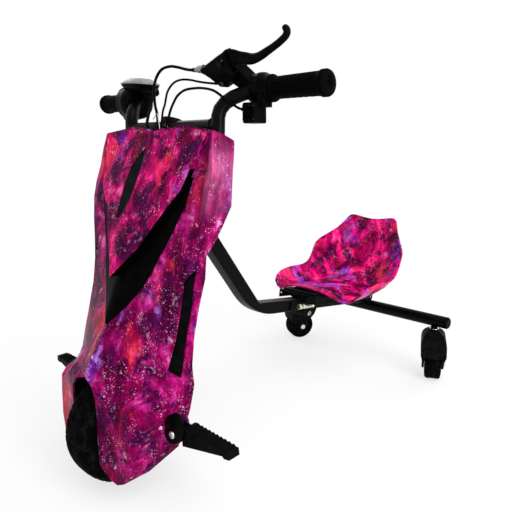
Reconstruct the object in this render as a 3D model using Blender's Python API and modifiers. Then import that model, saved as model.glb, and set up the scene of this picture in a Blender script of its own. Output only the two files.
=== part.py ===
"""Electric drift kart: printed fairing, driven front wheel, bent main tube, bucket seat and two casters.

Metres. The kart faces -Y, +X is the rider's left and +Z is up. It is drawn with its casters on the
floor and the raked steering axis through (0, 0, 0.1). At the end it is tipped forward about the casters
until the front wheel stands on the floor too, and moved so that the middle of its floor area is the
origin.
"""
import math

import bmesh
import bpy
from mathutils import Vector

# Driving dimensions
GAP = 0.0003
WHEEL_RADIUS = 0.100
TYRE_WIDTH = 0.060
RAKE = math.radians(14.0)
STEERING_HEIGHT = 0.100
FORWARD_TIP = math.radians(1.15)
ORIGIN_SHIFT = (-0.3432, 0.0001)
GRIP_Y = 0.179
GRIP_Z = 0.664
BAR_RADIUS = 0.0111
BAR_HALF_WIDTH = 0.2880
GRIP_RADIUS = 0.0168
TUBE_WIDTH = 0.030
TUBE_DEPTH = 0.0276
TUBE_STEEP = math.radians(55.4)
TUBE_SHALLOW = math.radians(9.26)
TUBE_CORNER = (0.3195, 0.2529)
TUBE_BEND = 0.137
HEAD_TUBE_RADIUS = 0.018
STEERER_RADIUS = 0.0143
COLUMN_RADIUS = 0.017
CROSSBAR_Y = 0.757
CROSSBAR_Z = 0.142
CROSSBAR_RADIUS = 0.015
CROSSBAR_HALF = 0.2385
CASTER_X = 0.208
CASTER_TRAIL = 0.031
CASTER_TURN = math.radians(27.0)
CASTER_WHEEL_RADIUS = 0.039
CASTER_WHEEL_WIDTH = 0.040
SHELL_THICKNESS = 0.003
SEAT_THICKNESS = 0.004
LEG_X = 0.056
LEG_RADIUS = 0.0125
AXLE_RADIUS = 0.006
PEG_PIVOT = (0.140, 0.016, 0.143)
PEG_TILT = math.radians(6.0)
PEG_BOLT_RADIUS = 0.003
LEVER_PIVOT = (0.130, 0.135, 0.704)
LEVER_LEAN = math.radians(120.0)
SEAT_FRONT = (0.0, 0.458, 0.2465)

# Heights along the steering axis
AXLE_HEIGHT = 0.0150
CROWN_BOTTOM = 0.1357
CROWN_TOP = 0.1600
HEAD_TUBE_BOTTOM = 0.3750
HEAD_TUBE_TOP = 0.4900
CUP_HEIGHT = 0.0100
BRIDGE_HEIGHT = 0.5225

SIDES = {"left": 1, "right": -1}
QUARTER = math.pi / 2
# Rotations that lay a drawn outline in the side view or the front view, or a turned piece along X or Y
SIDE_VIEW = (QUARTER, 0, QUARTER)
FRONT_VIEW = (QUARTER, 0, 0)
ALONG_X = (0, QUARTER, 0)
ALONG_MINUS_X = (0, -QUARTER, 0)
ALONG_Y = (-QUARTER, 0, 0)

for old in list(bpy.data.objects):
    bpy.data.objects.remove(old, do_unlink=True)
PARTS = bpy.data.collections.new("drift_kart")
CUTTERS = bpy.data.collections.new("cutters")
bpy.context.scene.collection.children.link(PARTS)
bpy.context.scene.collection.children.link(CUTTERS)


def mm(*values):
    """Millimetres to metres, for a point or a list of points."""
    return tuple(mm(*value) if isinstance(value, tuple) else value / 1000 for value in values)


def finish(name, colour, roughness, metallic=0.0):
    material = bpy.data.materials.new(name)
    material.use_nodes = True
    shader = material.node_tree.nodes["Principled BSDF"]
    shader.inputs["Base Color"].default_value = (*colour, 1.0)
    shader.inputs["Roughness"].default_value = roughness
    shader.inputs["Metallic"].default_value = metallic
    material.diffuse_color = (*colour, 1.0)
    return material


PRINTED = finish("printed_plastic", (0.50, 0.02, 0.20), 0.22)
BLACK_PLASTIC = finish("black_plastic", (0.020, 0.020, 0.022), 0.45)
BLACK_PAINT = finish("black_painted_steel", (0.015, 0.015, 0.017), 0.35, 0.2)
RUBBER = finish("black_rubber", (0.022, 0.022, 0.023), 0.75)
TYRE_RUBBER = finish("tyre_rubber", (0.025, 0.025, 0.026), 0.85)
ALUMINIUM = finish("aluminium", (0.55, 0.56, 0.57), 0.35, 1.0)
ZINC = finish("zinc_steel", (0.62, 0.62, 0.60), 0.3, 1.0)
SILVER_PLASTIC = finish("silver_plastic", (0.45, 0.46, 0.48), 0.35, 0.3)
CABLE_JACKET = finish("cable_jacket", (0.016, 0.016, 0.017), 0.5)


def guide(name, location, rotation=(0, 0, 0), parent=None):
    """An empty that stands on a joint's axis."""
    empty = bpy.data.objects.new(name, None)
    empty.empty_display_size = 0.05
    CUTTERS.objects.link(empty)
    place(empty, location, rotation, parent)
    return empty


def place(piece, location=(0, 0, 0), rotation=(0, 0, 0), parent=None, local=False):
    """Places a piece in the world, or in its parent's frame where local is set."""
    piece.location = location
    piece.rotation_euler = rotation
    if parent:
        piece.parent = parent
        if not local:
            piece.matrix_parent_inverse = parent.matrix_world.inverted()
    bpy.context.view_layer.update()
    return piece


def part(name, mesh, material, *placing, **how):
    """A named piece of the kart."""
    piece = bpy.data.objects.new(name, mesh)
    PARTS.objects.link(piece)
    mesh.materials.append(material)
    return place(piece, *placing, **how)


def shape_step(piece, operation, mesh, *placing, **how):
    """Joins a solid to a piece, or cuts with it; the solid stays as a hidden cutter."""
    tool = bpy.data.objects.new(f"{piece.name}_{mesh.name}", mesh)
    CUTTERS.objects.link(tool)
    tool.hide_render = True
    tool.display_type = "WIRE"
    place(tool, *placing, **how)
    step = piece.modifiers.new(mesh.name, "BOOLEAN")
    step.operation = operation
    step.solver = "EXACT"
    step.object = tool


def cut(piece, mesh, *placing, **how):
    shape_step(piece, "DIFFERENCE", mesh, *placing, **how)


def join(piece, mesh, *placing, **how):
    shape_step(piece, "UNION", mesh, *placing, **how)


def keep_within(piece, mesh, *placing, **how):
    shape_step(piece, "INTERSECT", mesh, *placing, **how)


def solid(shape, name, sharp=30):
    """The mesh of a bmesh, faces outward, smooth except along its sharp edges."""
    bmesh.ops.recalc_face_normals(shape, faces=shape.faces)
    mesh = bpy.data.meshes.new(name)
    shape.to_mesh(mesh)
    shape.free()
    mesh.shade_smooth()
    mesh.set_sharp_from_angle(angle=math.radians(sharp))
    return mesh


def evaluated(data, name, prepare=None):
    """The welded mesh of a curve, or of a mesh once its modifiers are applied."""
    carrier = bpy.data.objects.new(name, data)
    CUTTERS.objects.link(carrier)
    if prepare:
        prepare(carrier)
    graph = bpy.context.evaluated_depsgraph_get()
    graph.update()
    mesh = bpy.data.meshes.new_from_object(carrier.evaluated_get(graph))
    bpy.data.objects.remove(carrier, do_unlink=True)
    shape = bmesh.new()
    shape.from_mesh(mesh)
    bmesh.ops.remove_doubles(shape, verts=shape.verts, dist=1e-5)
    bpy.data.meshes.remove(mesh)
    return solid(shape, name)


def block(name, size, bevel=0.0, segments=2):
    """A box about its own origin, with rounded edges."""
    shape = bmesh.new()
    bmesh.ops.create_cube(shape, size=1.0)
    bmesh.ops.scale(shape, vec=size, verts=shape.verts)
    if bevel:
        bmesh.ops.bevel(shape, geom=shape.edges[:], offset=bevel, segments=segments, profile=0.5,
                        affect="EDGES")
    return solid(shape, name)


def turned(name, profile, steps=24):
    """Turns a profile about Z: (radius, height) points that run down its outer side."""
    edges = [(i, i + 1) for i in range(len(profile) - 1)]
    if profile[0][0] > 0:
        edges.append((len(profile) - 1, 0))
    mesh = bpy.data.meshes.new(name + "_profile")
    mesh.from_pydata([(radius, 0, height) for radius, height in profile], edges, [])

    def screw(carrier):
        turn = carrier.modifiers.new("turn", "SCREW")
        turn.steps = steps
        turn.render_steps = steps
        turn.use_merge_vertices = True
        turn.merge_threshold = 0.00001

    return evaluated(mesh, name, screw)


def rod(name, radius, bottom, top, steps=20):
    """A round bar along Z."""
    return turned(name, [(0, top), (radius, top), (radius, bottom), (0, bottom)], steps)


def ring(name, bore, radius, bottom, top, steps=24):
    """A plain bush along Z."""
    return turned(name, [(bore, top), (radius, top), (radius, bottom), (bore, bottom)], steps)


def outline(name, points, thickness, bevel=0.0):
    """A flat outline in X and Y, half its thickness to each side of the plane."""
    curve = bpy.data.curves.new(name, "CURVE")
    curve.dimensions = "2D"
    curve.fill_mode = "BOTH"
    curve.extrude = thickness / 2 - bevel
    curve.bevel_depth = bevel
    curve.bevel_resolution = 1
    curve.offset = -bevel
    spline = curve.splines.new("POLY")
    spline.points.add(len(points) - 1)
    for point, (x, y) in zip(spline.points, points):
        point.co = (x, y, 0, 1)
    spline.use_cyclic_u = True
    return evaluated(curve, name)


def pipe(name, points, radius, resolution=3):
    """A round bar or cable along its own points, with closed ends."""
    curve = bpy.data.curves.new(name, "CURVE")
    curve.dimensions = "3D"
    curve.bevel_depth = radius
    curve.bevel_resolution = resolution
    curve.use_fill_caps = True
    spline = curve.splines.new("POLY")
    spline.points.add(len(points) - 1)
    for point, position in zip(spline.points, points):
        point.co = (*position, 1)
    return evaluated(curve, name)


def arc(centre, radius, start, end, steps):
    """Points of a round stretch, angles in degrees."""
    x, y = centre
    turns = [math.radians(start + (end - start) * k / steps) for k in range(steps + 1)]
    return [(x + radius * math.cos(a), y + radius * math.sin(a)) for a in turns]


def along(points, value, axis=-1):
    """The point of a route at a given height, between its own points."""
    points = sorted(points, key=lambda p: p[axis])
    value = min(max(value, points[0][axis]), points[-1][axis])
    for low, high in zip(points, points[1:]):
        if value <= high[axis]:
            share = (value - low[axis]) / (high[axis] - low[axis])
            return tuple(a + (b - a) * share for a, b in zip(low, high))
    return points[-1]


def even(points, count):
    """Points at equal steps along a polyline."""
    knots = [Vector(point) for point in points]
    travelled = [0.0]
    for a, b in zip(knots, knots[1:]):
        travelled.append(travelled[-1] + (b - a).length)
    result = []
    for k in range(count):
        wanted = travelled[-1] * k / (count - 1)
        i = max(j for j in range(len(knots) - 1) if travelled[j] <= wanted + 1e-12)
        share = (wanted - travelled[i]) / (travelled[i + 1] - travelled[i])
        result.append(tuple(knots[i].lerp(knots[i + 1], share)))
    return result


def smooth_route(points, spacing):
    """Evenly spaced points on a Catmull-Rom curve through a route's own points."""
    knots = [Vector(point) for point in points]
    knots = [2 * knots[0] - knots[1], *knots, 2 * knots[-1] - knots[-2]]
    fine = []
    for before, start, end, after in zip(knots, knots[1:], knots[2:], knots[3:]):
        for step in range(12):
            t = step / 12
            fine.append(0.5 * (2 * start + (end - before) * t
                               + (2 * before - 5 * start + 4 * end - after) * t ** 2
                               + (3 * start - before - 3 * end + after) * t ** 3))
    fine.append(knots[-2])
    length = sum((b - a).length for a, b in zip(fine, fine[1:]))
    return even(fine, round(length / spacing) + 1)


def grid_sheet(name, rows, thickness, smooth=0):
    """An open sheet over rows of points, made solid on its inner side."""
    shape = bmesh.new()
    made = [[shape.verts.new(point) for point in row] for row in rows]
    for upper, lower in zip(made, made[1:]):
        for a, b, c, d in zip(upper, upper[1:], lower[1:], lower):
            shape.faces.new([a, b, c, d])
    bmesh.ops.remove_doubles(shape, verts=shape.verts, dist=1e-5)
    return thickened(shape, name, thickness, smooth)


def thickened(shape, name, thickness, smooth=0):
    """Smooths an open surface and gives it a wall on the side its faces turn away from."""
    mesh = bpy.data.meshes.new(name + "_surface")
    shape.to_mesh(mesh)
    shape.free()

    def wall(carrier):
        if smooth:
            cage = carrier.modifiers.new("smooth", "SUBSURF")
            cage.levels = smooth
            cage.render_levels = smooth
        skin = carrier.modifiers.new("wall", "SOLIDIFY")
        skin.thickness = thickness
        skin.offset = -1
        skin.use_even_offset = True
        skin.use_quality_normals = True

    return evaluated(mesh, name, wall)


# Joint axes
STEERING = guide("steering_axis", (0, 0, STEERING_HEIGHT), (-RAKE, 0, 0))
AXLE = tuple(STEERING.matrix_world @ Vector((0, 0, AXLE_HEIGHT)))
WHEEL = guide("front_wheel_axis", AXLE, parent=STEERING)
LEVER = guide("brake_lever_axis", LEVER_PIVOT, (LEVER_LEAN, 0, 0), STEERING)
THROTTLE = guide("throttle_axis", (-0.250, GRIP_Y, GRIP_Z), ALONG_X, STEERING)
SEAT = guide("seat_slide", SEAT_FRONT, (-TUBE_SHALLOW, 0, 0))


def on_axis(height, behind=0.0):
    """World point at a height on the steering axis, or that far behind it."""
    return STEERING.matrix_world @ Vector((0, behind, height))


def main_tube_outline():
    """The bent tube in side view: a sharp corner above, a wide bend below."""
    steep = Vector((math.cos(TUBE_STEEP), -math.sin(TUBE_STEEP)))
    shallow = Vector((math.cos(TUBE_SHALLOW), -math.sin(TUBE_SHALLOW)))
    below_steep = Vector((steep.y, -steep.x)) * TUBE_DEPTH
    below_shallow = Vector((shallow.y, -shallow.x)) * TUBE_DEPTH
    corner = Vector(TUBE_CORNER)
    top = corner - steep * 0.352
    rear = corner + shallow * 0.4475
    half_turn = (TUBE_STEEP - TUBE_SHALLOW) / 2
    miter = (below_steep + below_shallow) / 2 / math.cos(half_turn) ** 2
    centre = corner + miter - (miter.normalized() * TUBE_BEND / math.cos(half_turn))
    bend = arc(centre, TUBE_BEND, 270 - math.degrees(TUBE_STEEP), 270 - math.degrees(TUBE_SHALLOW), 8)
    ends = [tuple(rear + below_shallow), tuple(rear), tuple(corner)]
    return [tuple(top), tuple(top + below_steep), *bend, *ends]


def make_frame():
    """The head tube, the bent main tube and the rear crossbar with its caps."""
    part("head_tube", ring("head_tube", 0.0150, HEAD_TUBE_RADIUS, HEAD_TUBE_BOTTOM, HEAD_TUBE_TOP),
         BLACK_PAINT, parent=STEERING, local=True)
    tube = part("main_tube", outline("main_tube", main_tube_outline(), TUBE_WIDTH, 0.003), BLACK_PAINT,
                (0, 0, 0), SIDE_VIEW)
    cut(tube, rod("cope", HEAD_TUBE_RADIUS + GAP, 0.30, 0.60, 32), parent=STEERING, local=True)
    cut(tube, rod("saddle", CROSSBAR_RADIUS + GAP, -0.05, 0.05, 32), (0, CROSSBAR_Y, CROSSBAR_Z), ALONG_X)
    wall = CROSSBAR_RADIUS - 0.002
    bar = part("rear_crossbar", ring("rear_crossbar", wall, CROSSBAR_RADIUS, -CROSSBAR_HALF, CROSSBAR_HALF),
               BLACK_PAINT, (0, CROSSBAR_Y, CROSSBAR_Z), ALONG_X)
    cap = [(0, 0.0085), (CROSSBAR_RADIUS - 0.003, 0.0080), (CROSSBAR_RADIUS, 0.0045),
           (CROSSBAR_RADIUS, GAP), (wall - GAP, GAP), (wall - GAP, -0.012), (0, -0.012)]
    for side, sign in SIDES.items():
        cut(bar, rod("stem_hole_" + side, 0.0064, -0.03, 0), (sign * CASTER_X, CROSSBAR_Y, CROSSBAR_Z))
        part("end_cap_" + side, turned("end_cap", cap, 16), BLACK_PLASTIC,
             (sign * CROSSBAR_HALF, CROSSBAR_Y, CROSSBAR_Z), ALONG_X if sign > 0 else ALONG_MINUS_X)


def make_headset():
    """The bearing cups at both ends of the head tube."""
    cup = [(0.0146, 0.0100), (0.0190, 0.0100), (0.0205, 0.0080), (0.0205, 0.0020), (0.0190, 0.0),
           (0.0146, 0.0)]
    lower = HEAD_TUBE_BOTTOM - GAP - CUP_HEIGHT
    for name, bottom in {"headset_cup_lower": lower, "headset_cup_upper": HEAD_TUBE_TOP + GAP}.items():
        part(name, turned(name, [(radius, bottom + height) for radius, height in cup], 18), BLACK_PLASTIC,
             parent=STEERING, local=True)


def make_column():
    """The fork crown with its fairing stay, the steerer and its lock nut."""
    crown = part("fork_crown", block("fork_crown", (0.140, 0.038, CROWN_TOP - CROWN_BOTTOM), 0.005),
                 BLACK_PAINT, (0, 0, (CROWN_TOP + CROWN_BOTTOM) / 2), parent=STEERING, local=True)
    join(crown, block("stay", (0.2716, 0.004, 0.016)), (0, -0.004, 0.148), parent=STEERING, local=True)
    shoulder = HEAD_TUBE_BOTTOM - CUP_HEIGHT - 2 * GAP
    part("steerer_tube", turned("steerer_tube", [
        (0, BRIDGE_HEIGHT - 0.0140), (STEERER_RADIUS, BRIDGE_HEIGHT - 0.0140), (STEERER_RADIUS, shoulder),
        (COLUMN_RADIUS, shoulder), (COLUMN_RADIUS, CROWN_TOP + GAP), (0, CROWN_TOP + GAP)]), BLACK_PAINT,
        parent=STEERING, local=True)
    bottom = HEAD_TUBE_TOP + CUP_HEIGHT + 2 * GAP
    nut = part("headset_locknut", rod("headset_locknut", 0.0195, bottom, bottom + 0.0070, 6), ZINC,
               parent=STEERING, local=True)
    cut(nut, rod("locknut_bore", STEERER_RADIUS + 2 * GAP, 0.45, 0.55), parent=STEERING, local=True)


def make_fork():
    """The fork legs with their dropouts, the axle and its nuts."""
    part("axle", rod("axle", AXLE_RADIUS, -0.074, 0.074, 16), ZINC, AXLE, ALONG_X, STEERING)
    for side, sign in SIDES.items():
        leg = part("fork_leg_" + side, rod("fork_leg", LEG_RADIUS, AXLE_HEIGHT + 0.020, CROWN_BOTTOM - GAP),
                   BLACK_PAINT, (sign * LEG_X, 0, 0), parent=STEERING, local=True)
        plate = [*arc((0, 0), 0.016, 180, 360, 10), (0.012, 0.040), (-0.012, 0.040)]
        join(leg, outline("dropout", plate, 0.006), (sign * LEG_X, 0, AXLE_HEIGHT), SIDE_VIEW, STEERING,
             local=True)
        cut(leg, rod("axle_hole", AXLE_RADIUS + GAP, -0.08, 0.08, 16), AXLE, ALONG_X, STEERING)
        outward = ALONG_X if sign > 0 else ALONG_MINUS_X
        spot = (sign * (LEG_X + 0.003 + GAP), AXLE[1], AXLE[2]), outward, STEERING
        nut = part("axle_nut_" + side, rod("axle_nut", 0.0110, 0, 0.0085, 6), ZINC, *spot)
        cut(nut, rod("nut_bore_" + side, AXLE_RADIUS + GAP, -0.02, 0.02, 16), *spot)


def make_front_wheel():
    """The tyre, the hub motor with its rim, and the brake disc."""
    rim = 0.066
    half = TYRE_WIDTH / 2
    crown = [(0.0740, 0.0280), (0.0840, half), (0.0920, 0.0285), (0.0970, 0.0230), (WHEEL_RADIUS, 0.0110)]
    tyre = [(rim + GAP, 0.0190), *crown, *[(r, -x) for r, x in reversed(crown)], (rim + GAP, -0.0190)]
    axis = AXLE, ALONG_X, WHEEL
    part("tyre", turned("tyre", tyre, 36), TYRE_RUBBER, *axis)
    bore = AXLE_RADIUS + GAP
    side = [(bore, 0.0370), (0.0185, 0.0370), (0.0195, 0.0290), (0.0500, 0.0250), (0.0600, 0.0205),
            (rim, 0.0190)]
    part("hub_motor", turned("hub_motor", [*side, *[(r, -x) for r, x in reversed(side)]], 24), BLACK_PAINT,
         *axis)
    part("brake_disc", ring("brake_disc", bore, 0.0500, 0.0370 + GAP, 0.0391, 32), ZINC, *axis)


def make_brake_caliper():
    """A cable caliper behind the left fork leg, open over the disc's rim."""
    lean = math.radians(46.0)
    reach = 0.0475

    def spot(x, out):
        return (x, out * math.sin(lean), AXLE_HEIGHT + out * math.cos(lean))

    rotation = (-lean, 0, 0)
    held = {"parent": STEERING, "local": True}
    caliper = part("brake_caliper", block("brake_caliper", (0.0185, 0.034, 0.036), 0.003), ALUMINIUM,
                   spot(0.0385, reach), rotation, **held)
    join(caliper, block("mount_tab", (0.0150, 0.0260, 0.018)), (0.0535, 0.0260, 0.0440 + AXLE_HEIGHT),
         **held)
    cut(caliper, block("disc_slot", (0.0030, 0.060, 0.0270)), spot(0.03815, reach - 0.0090), rotation,
        **held)


def handlebar_route(sign=1):
    """One arm of the bar: up the riser, round the bend and out to the grip."""
    return [(sign * x, y, z) for x, y, z in mm(
        (121, 124, 585), (121, 126.5, 622), (122.5, 129.5, 633), (127.5, 136, 643), (136, 145, 651),
        (148, 155, 657), (162, 166, 661.5), (176, 176, 663.7), (188, 179, 664),
        (1000 * BAR_HALF_WIDTH, 179, 664))]


def make_handlebar():
    """The bent bar, its lower cross tube with the column clamp, and the left grip."""
    bridge = on_axis(BRIDGE_HEIGHT)
    bar = part("handlebar", pipe("handlebar", handlebar_route(), BAR_RADIUS, 4), BLACK_PAINT,
               parent=STEERING)
    join(bar, pipe("right_arm", handlebar_route(-1), BAR_RADIUS, 4), parent=STEERING)
    join(bar, rod("cross_tube", 0.0125, -0.121, 0.121), tuple(bridge), ALONG_X, STEERING)
    join(bar, rod("column_clamp", 0.0165, -0.0135, 0.0165), (0, 0, BRIDGE_HEIGHT), parent=STEERING,
         local=True)
    bore = BAR_RADIUS + GAP
    part("grip_left", turned("grip_left", [
        (0, 0.1040), (0.0150, 0.1040), (0.0188, 0.1015), (0.0190, 0.0935), (GRIP_RADIUS, 0.0915),
        (0.0160, 0.0050), (0.0185, 0.0030), (0.0185, 0), (bore, 0), (bore, 0.0985), (0, 0.0985)], 20),
        RUBBER, (0.1905, GRIP_Y, GRIP_Z), ALONG_X, STEERING)


def make_brake_lever():
    """The lever's perch on the bar, its pin, the cable adjuster and the lever, drawn about the pin."""
    held = {"parent": LEVER, "local": True}
    body = mm((-52, -4), (-34, 1.5), (-16, 7), (2, 12.5), (12, 15), (12, -20), (-6, -38), (-22, -36),
              (-36, -22), (-46, -14), (-52, -11))
    perch = part("brake_perch", outline("brake_perch", body, 0.022, 0.003), BLACK_PLASTIC, **held)
    strap = mm((-10, -38), (8, -12), (29, -38), (40, -52), (44, -64), (22, -64))
    join(perch, outline("strap", strap, 0.020), (0, 0, -0.016), (0, 0, 0), **held)
    join(perch, rod("clamp", 0.0185, 0, 0.0205), (0.1540, 0.1700, 0.6625), ALONG_X, STEERING)
    cut(perch, pipe("bar_bore", handlebar_route(), BAR_RADIUS + GAP, 5), parent=STEERING)
    cut(perch, outline("lever_slot", mm((-22, 30), (-22, -14), (0, -18), (40, -18), (40, 30)), 0.0096),
        **held)
    cut(perch, rod("pin_hole", 0.0030, -0.02, 0.02), **held)
    part("lever_pin", turned("lever_pin", [
        (0, 0.0145), (0.0055, 0.0145), (0.0055, 0.0113), (0.0027, 0.0113), (0.0027, -0.0125), (0, -0.0125)],
        16), ZINC, **held)
    part("barrel_adjuster", turned("barrel_adjuster", [
        (0.0028, 0.0215), (0.0042, 0.0205), (0.0042, 0.0140), (0.0062, 0.0130), (0.0062, GAP),
        (0.0028, GAP)], 16), ALUMINIUM, mm(-52.3, -7, 0), ALONG_MINUS_X, **held)
    blade = [
        *mm((-18, 2), (-6, 8), (10, 13), (25, 14), (39, 10), (60, 5.5), (81, 5), (99, 10), (117, 16.5),
            (129, 21)),
        *[(x, y) for x, y in arc((0.1365, 0.0275), 0.0068, 200, -60, 8)],
        *mm((134, 14), (116, 6.5), (93, -3.5), (70, -9), (53, -11), (34, -7), (16, -8.5), (2, -11),
            (-12, -9))]
    lever = part("brake_lever", outline("brake_lever", blade, 0.0090, 0.0025), BLACK_PAINT, **held)
    cut(lever, rod("pin_hole_lever", 0.0030, -0.02, 0.02), **held)


def make_switch():
    """The switch box under the left grip's inner end, with its rocker."""
    box = part("switch_box", block("switch_box", (0.028, 0.026, 0.031), 0.0025), BLACK_PLASTIC,
               (0.1665, 0.1600, 0.6275), parent=STEERING)
    join(box, rod("clamp_ring", 0.0205, 0, 0.0115), (0.1780, GRIP_Y, GRIP_Z), ALONG_X, STEERING)
    join(box, block("neck", (0.0110, 0.022, 0.020)), (0.1805, 0.1680, 0.6460), parent=STEERING)
    cut(box, pipe("bar_bore_switch", handlebar_route(), BAR_RADIUS + GAP, 5), parent=STEERING)
    cut(box, block("rocker_bay", (0.0200, 0.0180, 0.0170)), (0.1660, 0.1480, 0.6275), parent=STEERING)
    rocker = outline("switch_rocker", [*arc((0, 0), 0.0072, 205, 335, 8), (0.0052, 0.0042),
                                       (0.0018, 0.0012), (-0.0018, 0.0012), (-0.0052, 0.0042)], 0.0186)
    part("switch_rocker", rocker, BLACK_PLASTIC, (0.1660, 0.1480, 0.6275), (math.pi, -QUARTER, 0), STEERING)


def make_throttle():
    """The twist grip, the housing beside it and the silver bezel of the display on top."""
    bore = BAR_RADIUS + GAP
    part("throttle_grip", turned("throttle_grip", [
        (0, -0.0445), (0.0150, -0.0445), (0.0188, -0.0420), (0.0190, -0.0340), (GRIP_RADIUS, -0.0320),
        (0.0160, 0.0420), (0.0240, 0.0440), (0.0245, 0.0500), (bore, 0.0500), (bore, -0.0390),
        (0, -0.0390)][::-1], 20), RUBBER, parent=THROTTLE, local=True)
    housing = part("throttle_housing", rod("throttle_housing", 0.0250, 0, 0.0360, 24), BLACK_PLASTIC,
                   (-0.1990, GRIP_Y, GRIP_Z), ALONG_X, STEERING)
    join(housing, block("display_body", (0.056, 0.038, 0.024), 0.006), (-0.1500, 0.1745, 0.6800),
         (0.25, 0, 0), STEERING)
    cut(housing, pipe("bar_bore_throttle", handlebar_route(-1), BAR_RADIUS + 0.0008, 5), parent=STEERING)
    bezel = part("display_bezel", block("display_bezel", (0.058, 0.040, 0.0080), 0.003), SILVER_PLASTIC,
                 (-0.1500, 0.1704, 0.6962), (0.25, 0, 0), STEERING)
    cut(bezel, block("window", (0.040, 0.024, 0.0080)), (-0.1500, 0.1690, 0.7018), (0.25, 0, 0), STEERING)


# The fairing's lines, left half, each from top to bottom
RIDGE = mm((0, 92, 604), (0, 63, 516), (0, 41, 450), (0, 13, 378), (0, -2, 336), (0, -21, 291),
           (0, -38, 266), (0, -52, 245), (0, -64, 221))
WHEEL_OPENING = mm((0, -64, 221), (14, -66, 219), (26, -67, 212), (34, -68, 200), (37, -68, 188),
                   (37, -69, 118), (36, -70, 90), (42, -69, 78), (60, -66, 64))
MIDDLE = mm((72, 100, 611), (76, 86, 572), (79, 66, 516), (79, 57.5, 487), (76, 47, 450), (71, 36.5, 413),
            (66, 26, 378), (65, 14.5, 336), (66, -1, 291), (68, -22, 245), (70, -40, 221), (72, -57, 205),
            (72, -61, 188), (72, -62, 118), (70, -62, 90), (72, -62, 58))
FACET_EDGE = mm((148, 91, 601), (154, 84, 572), (158, 79, 544), (161, 70, 516), (160, 62, 487),
                (152, 54, 450), (142, 47, 413), (132, 39, 378), (130, 31, 336), (130, 19, 291),
                (127, 4, 245), (125, -3, 221), (121, -14, 205), (112, -42, 197), (107, -53, 188),
                (105, -56, 165), (104, -59, 118), (98, -60, 90), (86, -58, 64))
SIDE_FRONT = mm((147, 110, 597), (152, 105, 572), (156, 100, 544), (158, 85, 487), (151, 77, 450),
                (146, 62, 420), (143, 55, 397), (140, 46, 336), (140, 34, 291), (139, 20, 228),
                (136, 15, 207), (129, 14, 165), (112, 10, 112), (95, -18, 70))
REAR_EDGE = mm((145, 137, 586), (149, 132, 565), (151, 127, 544), (154, 119, 487), (147, 96, 440),
               (142, 76, 413), (142, 72, 378), (140, 60, 336), (140, 48, 291), (140, 41, 241),
               (140, 44, 211), (130, 40, 163), (110, 29, 98))
# Heights of the rows on the facet edge, and where each line's rows leave those heights
ROWS = mm(601, 572, 544, 516, 487, 468, 450, 431, 413, 395, 378, 357, 336, 313, 291, 266, 245, 232, 221,
          212, 205, 197, 188, 165, 140, 118, 104, 90, 78, 64)
RIDGE_ROWS = mm((601, 604), (572, 572), (90, 90), (64, 64))
MIDDLE_ROWS = mm((601, 611), (572, 572), (90, 88), (64, 58))
SIDE_ROWS = mm((601, 597), (544, 544), (450, 450), (413, 420), (378, 397), (336, 336), (266, 266),
               (245, 230), (205, 203), (165, 165), (90, 92), (64, 70))
REAR_ROWS = mm((601, 586), (544, 544), (487, 487), (245, 245), (165, 165), (118, 131), (64, 98))
SLOT_TOP = 0.378
SLOT_BOTTOM = 0.245


def row_point(line, heights, row):
    return along(line, along(heights, row, 0)[1])


def front_y(x, z):
    """How far back the fairing's front face lies, at a place in front view."""
    ridge = along(RIDGE, z) if z > RIDGE[-1][2] else along(WHEEL_OPENING, z)
    spots = [ridge, along(MIDDLE, z), along(FACET_EDGE, z)]
    return along([(spot[0], spot[1]) for spot in spots], abs(x), 0)[1]


def between(a, b, parts):
    return [tuple(p + (q - p) * k / parts for p, q in zip(a, b)) for k in range(parts)]


def fairing_row(row):
    """One row of the left half, from the ridge or the wheel opening round to the rear edge."""
    inner = WHEEL_OPENING if row < RIDGE[-1][2] else RIDGE
    ridge = row_point(inner, RIDGE_ROWS, row)
    middle = row_point(MIDDLE, MIDDLE_ROWS, row)
    facet = along(FACET_EDGE, row)
    side = row_point(SIDE_FRONT, SIDE_ROWS, row)
    rear = row_point(REAR_EDGE, REAR_ROWS, row)
    return [*between(ridge, middle, 2), *between(middle, facet, 2), facet, side, rear]


def fairing_mesh(sign):
    """One half of the shell with its side slot, closed flat along the seam where the halves meet."""
    slot = 4
    seam = GAP / 2
    shape = bmesh.new()
    rows = []
    for row in ROWS:
        rows.append([shape.verts.new((sign * max(x, seam), y, z)) for x, y, z in fairing_row(row)])
    for height, upper, lower in zip(ROWS, rows, rows[1:]):
        for column in range(len(upper) - 1):
            if column == slot and SLOT_BOTTOM < height <= SLOT_TOP:
                continue
            corners = [upper[column], upper[column + 1], lower[column + 1], lower[column]]
            shape.faces.new(corners[::-1] if sign > 0 else corners)
    mesh = thickened(shape, "fairing", SHELL_THICKNESS)
    for corner in mesh.vertices:
        if sign * corner.co.x < SHELL_THICKNESS:
            corner.co.x = sign * seam
    return mesh


def make_fairing():
    """Two shell halves that meet along the ridge, each with a hole for its peg's bracket."""
    for side, sign in SIDES.items():
        half = part("fairing_" + side, fairing_mesh(sign), PRINTED, parent=STEERING)
        x, y, z = PEG_PIVOT
        cut(half, rod("peg_hole_" + side, 0.0185, -0.03, 0.03, 24), (sign * (x - 0.016), y, z), ALONG_X,
            STEERING)


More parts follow.
